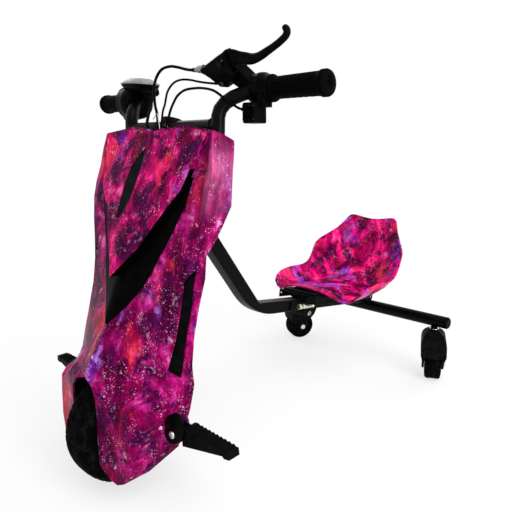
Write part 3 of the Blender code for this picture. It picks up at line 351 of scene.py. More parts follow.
def piece(name, shape, look, body, place=None, replaces=(), smooth=SHARP_FROM):
    """Makes a body into an object of the scene that rides on a CAD body, and gives it a finish by name."""
    mesh = bpy.data.meshes.new(name)
    bmesh.ops.recalc_face_normals(shape, faces=shape.faces)
    shape.to_mesh(mesh)
    shape.free()
    mesh.materials.append(finish(look))
    mesh.shade_smooth()
    mesh.set_sharp_from_angle(angle=math.radians(smooth))
    made = bpy.data.objects.new(name, mesh)
    bpy.context.scene.collection.objects.link(made)
    if place is not None:
        made.matrix_world = place
    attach(made, body)
    if replaces:
        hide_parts(*replaces)
    return made


def carved(made, cutter):
    """Takes a body out of a piece for good."""
    mesh = bpy.data.meshes.new("cutter")
    bmesh.ops.recalc_face_normals(cutter, faces=cutter.faces)
    cutter.to_mesh(mesh)
    cutter.free()
    tool = bpy.data.objects.new("cutter", mesh)
    bpy.context.scene.collection.objects.link(tool)
    tool.matrix_world = made.matrix_world
    step = made.modifiers.new("carve", "BOOLEAN")
    step.operation = "DIFFERENCE"
    step.solver = "EXACT"
    step.object = tool
    bpy.context.view_layer.update()
    result = bpy.data.meshes.new_from_object(made.evaluated_get(bpy.context.evaluated_depsgraph_get()))
    made.modifiers.clear()
    made.data = result
    result.shade_smooth()
    result.set_sharp_from_angle(angle=math.radians(SHARP_FROM))
    bpy.data.objects.remove(tool)
    return made


def dress(name, look, edge=0.0, segments=2, angle=32):
    """Gives a CAD node its finish, smooth shading and rounded edges."""
    made = NODES[name]
    mesh = made.data
    if "custom_normal" in mesh.attributes:
        mesh.attributes.remove(mesh.attributes["custom_normal"])
    mesh.materials.clear()
    mesh.materials.append(finish(look))
    mesh.shade_smooth()
    weld = made.modifiers.new("weld", "WELD")
    weld.merge_threshold = 0.00001
    flat = made.modifiers.new("flat", "DECIMATE")
    flat.decimate_type = "DISSOLVE"
    flat.angle_limit = math.radians(0.4)
    if edge:
        bevel = made.modifiers.new("edges", "BEVEL")
        bevel.limit_method = "ANGLE"
        bevel.angle_limit = math.radians(angle)
        bevel.width = edge
        bevel.segments = segments
        bevel.use_clamp_overlap = True
        made.modifiers.new("shading", "WEIGHTED_NORMAL")
    else:
        split = made.modifiers.new("shading", "EDGE_SPLIT")
        split.split_angle = math.radians(angle)
    return made


def oval(width, depth, height, power=3.0, steps=72):
    """One closed loop round Z between an ellipse and a rectangle; a higher power is squarer."""
    points = []
    for k in range(steps):
        angle = 2 * math.pi * k / steps
        across, up = math.cos(angle), math.sin(angle)
        reach = (abs(across) ** power + abs(up) ** power) ** (-1 / power)
        points.append(Vector((width / 2 * reach * across, depth / 2 * reach * up, height)))
    return points


def ovals(*levels):
    """A body through ovals, each given by its width, depth and height in millimetres."""
    return skin([oval(*mm(*level)) for level in levels])


def hexagon(reach, angle):
    """The radius of a hexagon at an angle, from the radius of its corners."""
    return reach * math.cos(math.pi / 6) / math.cos((angle % (math.pi / 3)) - math.pi / 6)


def screw_head(radius, height, steps=36):
    """A button head with a hexagonal socket."""
    socket = [ring(radius * wide, height * high, steps, hexagon)
              for wide, high in ((0.30, 0.35), (0.52, 0.40), (0.54, 0.97))]
    dome = [ring(radius * wide, height * high, steps)
            for wide, high in ((0.66, 1.0), (0.86, 0.80), (1.0, 0.40), (1.0, 0.0))]
    return skin(socket + dome)


def hex_nut(radius, bore, height):
    """A chamfered nut with a round bore that shows its thread's edge."""
    def trimmed(reach, angle):
        return min(hexagon(reach, angle), reach * 0.93)

    steps = 48
    loops = [ring(bore, 0, steps), ring(radius, 0, steps, trimmed),
             ring(radius, height * 0.16, steps, hexagon), ring(radius, height * 0.84, steps, hexagon),
             ring(radius, height, steps, trimmed),
             ring(bore * 1.15, height, steps), ring(bore, height * 0.88, steps)]
    return skin(loops, closed=True)


# Materials

class Finish:
    """A node material in the making."""

    def __init__(self, name):
        self.material = bpy.data.materials.new(name)
        self.material.use_nodes = True
        self.tree = self.material.node_tree
        self.shader = self.tree.nodes["Principled BSDF"]
        self.place = self.node("TexCoord").outputs["Object"]

    def node(self, kind, inputs=None, **settings):
        made = self.tree.nodes.new("ShaderNode" + kind)
        for key, value in settings.items():
            setattr(made, key, value)
        for key, value in (inputs or {}).items():
            self.give(made.inputs[key], value)
        return made

    def give(self, socket, value):
        if isinstance(value, bpy.types.NodeSocket):
            self.tree.links.new(value, socket)
        else:
            socket.default_value = value

    def stretched(self, scale, place=None):
        """Coordinates scaled by axis."""
        return self.node("Mapping", {"Vector": place or self.place, "Scale": scale}).outputs["Vector"]

    def noise(self, scale, detail=4.0, roughness=0.55, place=None, warp=0.0):
        made = self.node("TexNoise", {"Vector": place or self.place, "Scale": scale, "Detail": detail,
                                      "Roughness": roughness, "Distortion": warp})
        return made.outputs["Fac"]

    def ramp(self, value, *stops):
        """A colour ramp from pairs of position and colour or grey."""
        made = self.node("ValToRGB", {"Fac": value})
        ramp = made.color_ramp
        while len(ramp.elements) < len(stops):
            ramp.elements.new(0.5)
        for element, (position, colour) in zip(ramp.elements, stops):
            element.position = position
            element.color = (*colour, 1.0) if isinstance(colour, tuple) else (colour, colour, colour, 1.0)
        return made.outputs["Color"]

    def mix(self, share, first, second):
        made = self.node("Mix", data_type="RGBA")
        self.give(made.inputs["Factor"], share)
        for socket, value in ((made.inputs[6], first), (made.inputs[7], second)):
            self.give(socket, (*value, 1.0) if isinstance(value, tuple) else value)
        return made.outputs[2]

    def sums(self, operation, first, second):
        return self.node("Math", {0: first, 1: second}, operation=operation).outputs[0]

    def levels(self, value, low, high, new_low=0.0, new_high=1.0):
        made = self.node("MapRange", {"Value": value, "From Min": low, "From Max": high, "To Min": new_low,
                                      "To Max": new_high}, clamp=True)
        return made.outputs["Result"]

    def bump(self, height, depth):
        return self.node("Bump", {"Height": height, "Distance": depth, "Strength": 1.0}).outputs["Normal"]

    def axis(self, name, place=None):
        return self.node("SeparateXYZ", {"Vector": place or self.place}).outputs[name]

    def done(self, **sockets):
        names = {"colour": "Base Color", "roughness": "Roughness", "metal": "Metallic", "normal": "Normal",
                 "coat": "Coat Weight", "coat_roughness": "Coat Roughness",
                 "specular": "Specular IOR Level"}
        for key, value in sockets.items():
            if key == "colour" and isinstance(value, tuple):
                value = (*value, 1.0)
            self.give(self.shader.inputs[names[key]], value)
        return self.material


def nebula_print(name, colours, painted_light_gain=1.0, away=(0.0, 0.0, 0.0)):
    """A cloud print: magenta clouds, dark hollows, violet glows, red streaks and crowds of stars. Its gain
    is painted light that makes brighter or darker copies of the print, and the pale clouds on the shell's
    upper flanks are a painted sheen.
    """
    f = Finish(name)
    # Painted light: the gain scales all the print's colours, so the hood's and the seat's copies are
    # painted brighter than the shell's
    magenta, violet, red = (tuple(min(c * painted_light_gain, 1.0) for c in tone)
                            for tone in (colours.magenta, colours.violet, colours.red))

    def elsewhere(x, y, z, place):
        return f.node("Mapping", {"Vector": place, "Location": (x, y, z)}).outputs[0]

    home = elsewhere(*away, f.place)
    # Clouds, pulled about by a slower noise
    drift = f.node("TexNoise", {"Vector": home, "Scale": 13.0, "Detail": 4.0}).outputs["Color"]
    pull = f.node("VectorMath", {0: drift, 1: (0.050, 0.050, 0.050)}, operation="MULTIPLY").outputs[0]
    cloud = f.node("VectorMath", {0: home, 1: pull}, operation="ADD").outputs[0]
    tall = f.stretched((1.1, 1.1, 0.6), cloud)
    mist = f.noise(26.0, 10.0, 0.62, tall)
    colour = f.ramp(mist, (0.34, (0.035 * painted_light_gain, 0.0003, 0.017)), (0.44, (0.13 * painted_light_gain, 0.0005, 0.041)),
                    (0.53, magenta), (0.61, (0.58 * painted_light_gain, 0.014, 0.22)), (0.71, (0.92, 0.16, 0.48)))
    hollow = f.levels(f.noise(24.0, 8.0, 0.62, elsewhere(0.7, 0.2, 0.9, cloud)), 0.50, 0.58, 0.0, 0.96)
    depth = f.ramp(f.noise(60.0, 6.0, 0.6, cloud),
                   (0.35, (0.012, 0.0003, 0.016)), (0.62, (0.085, 0.002, 0.060)))
    colour = f.mix(hollow, colour, depth)
    glow_share = f.levels(f.noise(14.0, 5.0, 0.5, elsewhere(0.3, 0.9, 0.2, tall)), 0.575, 0.68, 0.0, 0.90)
    glow = f.ramp(f.noise(58.0, 8.0, 0.66, cloud), (0.34, (0.040, 0.001, 0.085)), (0.50, violet),
                  (0.62, (0.50, 0.22, 0.85)))
    colour = f.mix(glow_share, colour, glow)
    streaks = f.noise(13.0, 7.0, 0.62, elsewhere(0.37, 0.11, 0.53, f.stretched((1.5, 1.5, 0.38), cloud)))
    red_share = f.levels(streaks, 0.560, 0.665, 0.0, 0.90)
    red_tone = f.ramp(f.noise(50.0, 8.0, 0.62, tall), (0.34, (0.30, 0.002, 0.022)), (0.52, red),
                      (0.68, (0.95, 0.075, 0.13)))
    colour = f.mix(red_share, colour, red_tone)
    wisp = f.levels(f.noise(90.0, 9.0, 0.72, f.stretched((1, 1, 0.45), cloud), 0.6), 0.61, 0.76, 0.0, 0.65)
    colour = f.mix(wisp, colour, (0.90, 0.26, 0.52))
    puff = f.levels(f.noise(52.0, 9.0, 0.70, elsewhere(0.1, 0.8, 0.4, cloud)), 0.605, 0.74, 0.0, 0.90)
    colour = f.mix(puff, colour, (0.95, 0.52, 0.76))
    # Painted sheen: pale clouds over the shell's upper flanks stand in for the highlight on these facets
    sheen_zone = f.sums("MULTIPLY", f.levels(f.sums("ABSOLUTE", f.axis("X"), 0.0), 0.1465, 0.1520),
                        f.levels(f.axis("Z"), 0.455, 0.500))
    painted_sheen = f.sums("MULTIPLY", sheen_zone, f.levels(f.noise(34.0, 8.0, 0.66, tall), 0.36, 0.60, 0.05, 0.62))
    colour = f.mix(painted_sheen, colour, (0.62, 0.115, 0.32))
    # Three sizes of stars in crowds: cells a metre, reach of a star in its cell, share of dark cells
    crowd = f.levels(f.noise(30.0, 5.0, 0.6, elsewhere(0.5, 0.4, 0.1, home)), 0.49, 0.62, 0.04, 1.0)
    for scale, reach, share in ((430.0, 0.38, 0.60), (250.0, 0.27, 0.66), (130.0, 0.19, 0.66)):
        cells = f.node("TexVoronoi", {"Vector": home, "Scale": scale})
        chance = f.axis("X", cells.outputs["Color"])
        lit = f.levels(chance, share, 1.0, 0.30, 1.0)
        chosen = f.sums("GREATER_THAN", chance, share)
        wide = f.levels(f.axis("Y", cells.outputs["Color"]), 0.0, 1.0, 0.45, 1.3)
        spot = f.levels(f.sums("DIVIDE", cells.outputs["Distance"], wide), reach * 0.5, reach, 1.0, 0.0)
        star = f.sums("MULTIPLY", f.sums("MULTIPLY", spot, lit), f.sums("MULTIPLY", chosen, crowd))
        tint = f.ramp(f.axis("Z", cells.outputs["Color"]),
                      (0.25, (1.0, 0.34, 0.62)), (0.75, (1.0, 0.80, 0.94)))
        colour = f.mix(star, colour, tint)
    wave = f.noise(240.0, 2.0)
    smudge = f.ramp(f.noise(28.0, 5.0), (0.35, 0.18), (0.70, 0.30))
    return f.done(colour=colour, roughness=smudge, specular=0.012, normal=f.bump(wave, 0.00003))


def moulded(name, colour, grain=0.0, low=0.35, high=0.5, dust=0.0, shine=0.014):
    """Moulded plastic with uneven gloss, and with grain and a little dust low down where given."""
    f = Finish(name)
    worn = tuple(c * 1.6 + 0.002 for c in colour)
    tone = f.mix(f.ramp(f.noise(60.0, 6.0), (0.35, 0.0), (0.75, 1.0)), colour, worn)
    if dust:
        low_down = f.levels(f.axis("Z"), 0.02, 0.20, dust, 0.0)
        patches = f.ramp(f.noise(95.0, 8.0, 0.7), (0.45, 0.0), (0.75, 1.0))
        tone = f.mix(f.sums("MULTIPLY", low_down, patches), tone, (0.20, 0.18, 0.16))
    rough = f.ramp(f.noise(45.0, 7.0, 0.6), (0.3, low), (0.7, high))
    normal = f.bump(f.noise(900.0, 3.0, 0.7), grain) if grain else f.bump(f.noise(120.0, 2.0), 0.00003)
    return f.done(colour=tone, roughness=rough, normal=normal, specular=shine)


def metal(name, colour, low, high, brush=None, depth=0.00001, patina=(0.30, 0.29, 0.27)):
    """Plated or bare metal with fine marks. brush stretches them along an axis."""
    f = Finish(name)
    place = f.stretched(brush) if brush else f.place
    fine = f.noise(700.0, 6.0, 0.7, place)
    tone = f.mix(f.ramp(f.noise(80.0, 7.0, 0.65), (0.42, 0.0), (0.80, 0.55)), colour, patina)
    rough = f.ramp(fine, (0.3, low), (0.7, high))
    return f.done(colour=tone, roughness=rough, metal=1.0, normal=f.bump(fine, depth))


def lathed_metal(name, colour, low, high):
    """Metal with the turning lines of a disc."""
    f = Finish(name)
    flat = f.stretched((1.0, 1.0, 0.0))
    rings = f.node("TexWave", {"Vector": flat, "Scale": 420.0, "Distortion": 1.2, "Detail": 3.0,
                               "Detail Scale": 3.0}, wave_type="RINGS", rings_direction="Z").outputs["Fac"]
    tone = f.mix(f.ramp(f.noise(60.0, 6.0), (0.4, 0.0), (0.8, 0.6)), colour, (0.28, 0.27, 0.26))
    return f.done(colour=tone, roughness=f.ramp(rings, (0.2, low), (0.8, high)), metal=1.0,
                  normal=f.bump(rings, 0.00002))


def rubber(name, colour, dust=0.0, low=0.6, high=0.8):
    """Soft rubber: a dry bloom over a dark ground, with patches of dust where a share is given."""
    f = Finish(name)
    bloom = tuple(c * 2.2 for c in colour)
    tone = f.mix(f.ramp(f.noise(160.0, 8.0, 0.7), (0.4, 0.0), (0.8, 0.8)), colour, bloom)
    if dust:
        patches = f.ramp(f.noise(70.0, 9.0, 0.72), (0.48, 0.0), (0.78, 1.0))
        tone = f.mix(f.sums("MULTIPLY", patches, dust), tone, (0.16, 0.15, 0.14))
    rough = f.ramp(f.noise(220.0, 5.0), (0.3, low), (0.7, high))
    grain = f.bump(f.noise(1400.0, 3.0, 0.7), 0.00004)
    return f.done(colour=tone, roughness=rough, normal=grain, specular=0.010)


def powder_coat(name, colour):
    """Black powder coat: a tight orange peel, scuffed lighter here and there."""
    f = Finish(name)
    scuff = f.ramp(f.noise(48.0, 9.0, 0.75, f.stretched((1, 1, 0.4))), (0.62, 0.0), (0.80, 0.5))
    tone = f.mix(scuff, colour, (0.008, 0.008, 0.009))
    rough = f.ramp(f.noise(300.0, 4.0), (0.3, 0.26), (0.7, 0.40))
    peel = f.bump(f.noise(650.0, 2.0, 0.5), 0.00003)
    return f.done(colour=tone, roughness=rough, normal=peel, specular=0.06)


def dark_glass(name, colour):
    """The display's window: smoky clear plastic over a dark panel, with faint wipe marks."""
    f = Finish(name)
    wiped = f.ramp(f.noise(90.0, 6.0, 0.6, f.stretched((1.0, 6.0, 1.0))), (0.35, 0.05), (0.75, 0.16))
    tone = f.mix(f.ramp(f.noise(30.0, 2.0), (0.4, 0.0), (0.7, 1.0)), colour, (0.020, 0.024, 0.030))
    return f.done(colour=tone, roughness=wiped, coat=1.0, coat_roughness=0.03)


MADE = {}


def finish(name):
    """One of the kart's finishes, made when it is first asked for."""
    if name in MADE:
        return MADE[name]
    colours = bpy.context.scene.drift_kart_colours
    black, coat, soft = (tuple(c) for c in (colours.plastic, colours.powder, colours.rubber))

    def dark(share):
        return tuple(c * share for c in black)

    makers = {
        # Painted light: the three prints are one print at three brightnesses, and the hood's and the seat's
        # copies are painted lighter than the shell's
        "shell_print": lambda title: nebula_print(title, colours, 0.85),
        "hood_print_painted_lighter": lambda title: nebula_print(title, colours, 1.5, (0.013, 0.41, 0.022)),
        "seat_print_painted_lighter": lambda title: nebula_print(title, colours, 2.2, (0.31, 0.12, 0.05)),
        "gloss_black": lambda title: moulded(title, dark(0.3), low=0.16, high=0.28, shine=0.008),
        "grained_black": lambda title: moulded(title, black, grain=0.00006, low=0.38, high=0.55),
        "smooth_black": lambda title: moulded(title, dark(0.7), low=0.24, high=0.38),
        "floor_black": lambda title: moulded(title, black, grain=0.00005, low=0.40, high=0.6, dust=0.06),
        "vent_grey": lambda title: moulded(title, (0.0022, 0.0040, 0.0044), grain=0.00005, low=0.4,
                                           high=0.6),
        "powder_black": lambda title: powder_coat(title, coat),
        "grip_rubber": lambda title: rubber(title, soft, low=0.45, high=0.62),
        "cable_jacket": lambda title: moulded(title, dark(0.6), low=0.28, high=0.42),
        "tyre_rubber": lambda title: rubber(title, soft, dust=0.08),
        "wheel_rubber": lambda title: rubber(title, soft, dust=0.08),
        "cast_aluminium": lambda title: metal(title, (0.55, 0.56, 0.58), 0.32, 0.52, depth=0.00004),
        "brushed_aluminium": lambda title: metal(title, (0.66, 0.67, 0.69), 0.22, 0.40, (0.05, 1.0, 1.0)),
        "dull_aluminium": lambda title: metal(title, (0.26, 0.26, 0.27), 0.25, 0.42),
        "zinc": lambda title: metal(title, (0.68, 0.68, 0.66), 0.18, 0.36),
        "pale_zinc": lambda title: metal(title, (0.62, 0.64, 0.52), 0.30, 0.48, patina=(0.40, 0.40, 0.30)),
        "disc_steel": lambda title: lathed_metal(title, (0.52, 0.52, 0.53), 0.22, 0.42),
        "silver_plastic": lambda title: moulded(title, (0.16, 0.165, 0.175), grain=0.00003, low=0.25,
                                                high=0.38, shine=0.3),
        "display_glass": lambda title: dark_glass(title, (0.006, 0.007, 0.009)),
        "dark_steel": lambda title: metal(title, (0.045, 0.045, 0.048), 0.25, 0.42,
                                          patina=(0.03, 0.03, 0.03)),
        "nylon_tie": lambda title: moulded(title, dark(0.8), grain=0.00003, low=0.35, high=0.5),
    }
    MADE[name] = makers[name](name)
    return MADE[name]


# Settings

def colour(name, description, value):
    return FloatVectorProperty(name=name, description=description, subtype="COLOR", size=3, min=0, max=1,
                               default=value)


def length(name, description, value):
    return FloatProperty(name=name, description=description, subtype="DISTANCE", unit="LENGTH", min=0,
                         precision=5, default=value)


class DriftKartColours(bpy.types.PropertyGroup):
    """The colours of the kart's finishes."""
    magenta: colour("Magenta", "Main colour of the cloud print", (0.28, 0.0014, 0.084))
    violet: colour("Violet", "Colour of the print's violet clouds", (0.16, 0.010, 0.30))
    red: colour("Red", "Colour of the print's red veils", (0.66, 0.012, 0.050))
    plastic: colour("Plastic", "Black of the moulded parts", (0.0016, 0.0016, 0.0019))
    powder: colour("Powder coat", "Black of the painted tubes", (0.0012, 0.0012, 0.0014))
    rubber: colour("Rubber", "Black of grips and tyres", (0.0012, 0.0012, 0.0014))
    floor: colour("Floor", "Colour of the studio floor", (0.97, 0.97, 0.97))


class DriftKartSizes(bpy.types.PropertyGroup):
    """The sizes of the kart's finer forms."""
    shell_edge: length("Shell edge", "Rounding of the shell's edges", 0.0012)
    tread_depth: length("Tread depth", "Depth of the front tyre's grooves", 0.0013)
    tread_blocks: IntProperty(name="Tread blocks", description="Chevrons round the front tyre", default=44,
                              min=12, max=60)
    rib_height: length("Grip rib height", "How far the grips' ribs stand up", 0.0006)
    weld_radius: length("Weld radius", "Half the width of a weld bead", 0.0024)
    lamp_power: FloatProperty(name="Lamp power", description="Power of the main soft lamp", unit="POWER",
                              default=26.0, min=0)


def sizes():
    return bpy.context.scene.drift_kart_sizes


class KartOperator(bpy.types.Operator):
    """What the kart's operators share."""
    bl_options = {"REGISTER", "UNDO"}

    def execute(self, context):
        self.make(context)
        return {"FINISHED"}


class DRIFTKART_OT_stage(KartOperator):
    """Make the camera, the floor, the soft lamps and the white surround"""
    bl_idname = "driftkart.stage"
    bl_label = "Studio"

    def make(self, context):
        scene = context.scene
        scene.view_settings.view_transform = "Standard"
        lens = bpy.data.cameras.new("camera")
        lens.sensor_width = SENSOR_WIDTH
        lens.lens = CAMERA_LENS
        lens.shift_x, lens.shift_y = CAMERA_SHIFT
        lens.clip_start = 0.01
        camera = bpy.data.objects.new("camera", lens)
        scene.collection.objects.link(camera)
        camera.location = CAMERA_PLACE
        camera.rotation_euler = tuple(math.radians(angle) for angle in CAMERA_ANGLES)
        scene.camera = camera
        self.floor(context)
        self.surround(context)
        for name, (place, width, share) in LAMPS.items():
            self.lamp(name, place, width, sizes().lamp_power * share)

    def lamp(self, name, place, width, power):
        """A round soft lamp that looks at the kart."""
        data = bpy.data.lights.new(name, "AREA")
        data.shape = "DISK"
        data.size = width
        data.energy = power
        made = bpy.data.objects.new(name, data)
        bpy.context.scene.collection.objects.link(made)
        made.location = place
        made.rotation_euler = (Vector(place) - Vector(LAMP_TARGET)).to_track_quat("Z", "Y").to_euler()

    def surround(self, context):
        """A soft white light all round that the camera, mirrors and glass see as pure white."""
        world = bpy.data.worlds.new("surround")
        context.scene.world = world
        world.use_nodes = True
        tree = world.node_tree
        tree.nodes.clear()
        paths = tree.nodes.new("ShaderNodeLightPath")
        backgrounds = []
        for strength in (SURROUND_LIGHT, 1.0):
            background = tree.nodes.new("ShaderNodeBackground")
            background.inputs["Color"].default_value = (1, 1, 1, 1)
            background.inputs["Strength"].default_value = strength
            backgrounds.append(background)
        light, seen = backgrounds
        choice = tree.nodes.new("ShaderNodeMixShader")
        last = tree.nodes.new("ShaderNodeOutputWorld")
        shown = paths.outputs["Is Camera Ray"]
        for ray in ("Is Glossy Ray", "Is Transmission Ray"):
            either = tree.nodes.new("ShaderNodeMath")
            either.operation = "MAXIMUM"
            tree.links.new(shown, either.inputs[0])
            tree.links.new(paths.outputs[ray], either.inputs[1])
            shown = either.outputs[0]
        tree.links.new(shown, choice.inputs[0])
        tree.links.new(light.outputs[0], choice.inputs[1])
        tree.links.new(seen.outputs[0], choice.inputs[2])
        tree.links.new(choice.outputs[0], last.inputs["Surface"])

    def floor(self, context):
        """A white floor that keeps the kart's shadow and fades to pure white away from it."""
        shape = bmesh.new()
        bmesh.ops.create_grid(shape, x_segments=24, y_segments=24, size=FLOOR_HALF)
        mesh = bpy.data.meshes.new("floor")
        shape.to_mesh(mesh)
        shape.free()
        floor = bpy.data.objects.new("floor", mesh)
        context.scene.collection.objects.link(floor)
        f = Finish("studio_floor")
        tone = tuple(context.scene.drift_kart_colours.floor)
        worn = tuple(c * 0.985 for c in tone)
        f.done(colour=f.mix(f.ramp(f.noise(3.0, 3.0), (0.3, 0.0), (0.7, 1.0)), tone, worn), roughness=0.7,
               specular=0.15)
        white = f.node("Emission", {"Color": (1, 1, 1, 1), "Strength": 1.0})
        away = f.node("VectorMath", {0: f.place}, operation="LENGTH").outputs["Value"]
        paths = f.node("LightPath").outputs
        seen = f.sums("MAXIMUM", f.sums("MAXIMUM", paths["Is Camera Ray"], paths["Is Glossy Ray"]),
                      paths["Is Transmission Ray"])
        share = f.sums("MULTIPLY", f.levels(away, *FLOOR_GLOW_REACH, *FLOOR_GLOW), seen)
        choice = f.node("MixShader", {0: share, 1: f.shader.outputs[0], 2: white.outputs[0]})
        f.tree.links.new(choice.outputs[0], f.tree.nodes["Material Output"].inputs["Surface"])
        mesh.materials.append(f.material)


class DRIFTKART_OT_shell(KartOperator):
    """Print and round the two shell halves and the hood, and leave their inside black"""
    bl_idname = "driftkart.shell"
    bl_label = "Shell"

    def make(self, context):
        for name in ("fairing_left", "fairing_right", "hood_panel"):
            # The hood's print is the shell's print painted lighter: painted light
            look = "hood_print_painted_lighter" if name == "hood_panel" else "shell_print"
            dress(name, look, sizes().shell_edge, angle=9)
        drawn = STANCE.inverted()
        for side in SIDES:
            self.black_inside(NODES["fairing_" + side].data, drawn)
        hood = NODES["hood_panel"].data
        hood.materials.append(finish("gloss_black"))
        for face in hood.polygons:
            place = drawn @ face.center
            edge = width_at_height(HOOD_EDGE, place.z)
            steep = abs((drawn.to_3x3() @ face.normal).y) < HOOD_WALL_FACING
            if steep and place.z < HOOD_WALL_TOP and abs(abs(place.x) - edge) < HOOD_WALL_REACH:
                face.material_index = 1

    def black_inside(self, mesh, drawn):
        """The print covers the shell's outside only: faces that look at its middle stay black."""
        mesh.materials.append(finish("smooth_black"))
        for face in mesh.polygons:
            place = drawn @ face.center
            back = SHELL_MIDDLE_Y + SHELL_MIDDLE_LEAN * (place.z - STEERING_HEIGHT)
            middle = Vector((0, back, place.z))
            if (drawn.to_3x3() @ face.normal).dot((place - middle).normalized()) < INSIDE_FACING:
                face.material_index = 1


class DRIFTKART_OT_trim(KartOperator):
    """Finish the black V, the hood's insert and the side inserts, and line the side slots"""
    bl_idname = "driftkart.trim"
    bl_label = "Trim"

    def make(self, context):
        dress("v_trim", "gloss_black", 0.0004)
        dress("hood_vent", "vent_grey")
        for side, sign in SIDES.items():
            dress("side_vent_" + side, "smooth_black")
            piece("slot_liner_" + side, self.liner(sign), "smooth_black", "steering", STANCE)

    def liner(self, sign):
        """A flanged tray behind a side slot, a little wider than the slot all round."""
        loops = []
        for k in range(13):
            height = LINER_TOP - LINER_HEIGHT * k / 12
            front, rear = (Vector(point_at_height(line, height)) for line in (SLOT_FRONT, SLOT_REAR))
            across = (rear - front).normalized()
            inward = Vector((-across.y, across.x, 0)).normalized()
            near, far = front - across * LINER_MARGIN, rear + across * LINER_MARGIN
            section = [near + inward * LINER_DEPTHS[0], near + inward * LINER_DEPTHS[1],
                       far + inward * LINER_DEPTHS[1], far + inward * LINER_DEPTHS[0]]
            loops.append([Vector((sign * p.x, p.y, p.z)) for p in section])
        return skin(loops)


class DRIFTKART_OT_front_wheel(KartOperator):
    """Make the treaded tyre, drilled disc and rim lips, and finish the motor with boss, ribs and screws"""
    bl_idname = "driftkart.front_wheel"
    bl_label = "Front wheel"

    def make(self, context):
        self.tyre()
        self.disc()
        dress("hub_motor", "powder_black", 0.0005)
        cover = turned(mm((6.8, 37.1), (17.0, 37.1), (17.6, 36.6), (18.0, 35.2), (6.8, 35.2)), 48)
        heads = gathered(screw_head(0.0030, 0.0022), [
            turn(math.radians(60 * k), "Z") @ shift(0.045, 0, 0.0254) for k in range(6)])
        ribs = gathered(moved(block((0.024, 0.0022, 0.0016), 0.0006), shift(0.034, 0, 0.0276)), [
            turn(math.radians(60 * k + 30), "Z") for k in range(6)])
        far = AXLE @ turn(math.pi, "Z") @ ACROSS
        piece("motor_boss", cover, "cast_aluminium", "front_wheel", far)
        piece("motor_cover_screws", heads, "zinc", "front_wheel", far)
        piece("motor_cover_ribs", ribs, "powder_black", "front_wheel", far)
        lip = turned(mm((61.2, 20.6), (63.0, 21.2), (65.5, 20.6), (65.5, 19.4), (61.2, 19.6)), 96)
        both = gathered(lip, [Matrix.Identity(4), turn(math.pi, "X")])
        piece("rim_lips", both, "brushed_aluminium", "front_wheel", AXLE @ ACROSS)

    def tyre(self):
        """The front tyre, with slanted grooves that meet in one round its middle."""
        depth = sizes().tread_depth
        per_block = 12
        steps = sizes().tread_blocks * per_block
        middle_groove, slant, shoulder, fade = 0.0016, 0.034, 0.0925, 0.003
        half = flowing([(r, x, 0) for r, x in TYRE_SECTION], 2)
        crown = [(p.x, p.y) for p in half] + [(p.x, -p.y) for p in reversed(half[:-1])]
        inner = [(0.0664, x) for x in (-0.012, -0.004, 0.004, 0.012)]
        loops = []
        for k in range(steps):
            angle = 2 * math.pi * k / steps
            loop = []
            for radius, x in crown:
                share = (k / per_block + abs(x) / slant) % 1.0
                grooved = share < 0.30 or abs(x) < middle_groove
                zone = min(max((radius - shoulder) / fade, 0.0), 1.0)
                reach = radius - depth * zone if grooved else radius
                loop.append(Vector((reach * math.cos(angle), reach * math.sin(angle), x)))
            for radius, x in inner:
                loop.append(Vector((radius * math.cos(angle), radius * math.sin(angle), x)))
            loops.append(loop)
        piece("tyre_treaded", skin(loops, closed=True), "tyre_rubber", "front_wheel", AXLE @ ACROSS,
              ("tyre",), 50)

    def disc(self):
        """The wavy brake disc, with drilled holes, windows and its bolts."""
        low, high = 0.03735, 0.03905

        def wavy(reach, angle):
            return reach - 0.0016 * (0.5 - 0.5 * math.cos(10 * angle))

        steps = 120
        bore, rim, middle = 0.0065, 0.0496, (low + high) / 2
        loops = [ring(bore, low, steps), ring(rim, low, steps, wavy), ring(0.0499, middle, steps, wavy),
                 ring(rim, high, steps, wavy), ring(bore, high, steps)]
        disc = piece("brake_disc_drilled", skin(loops, closed=True), "disc_steel", "front_wheel",
                     AXLE @ ACROSS, ("brake_disc",))
        drill = turned([(0.0022, low - 0.002), (0.0022, high + 0.002)], 14)
        spots = [0.0395 + 0.0042 * (k % 3 - 1) for k in range(24)]
        turns = [turn(math.radians(15 * k), "Z") @ shift(x, 0, 0) for k, x in enumerate(spots)]
        holes = gathered(drill, turns)
        window = moved(block((0.012, 0.011, 0.006), 0.0025), shift(0.0240, 0, middle))
        windows = gathered(window, [turn(math.radians(72 * k + 8), "Z") for k in range(5)])
        carved(disc, together(holes, windows))
        bolts = gathered(screw_head(0.0032, 0.0021), [
            turn(math.radians(120 * k + 40), "Z") @ shift(0.0135, 0, high) for k in range(3)])
        piece("disc_bolts", bolts, "zinc", "front_wheel", AXLE @ ACROSS)


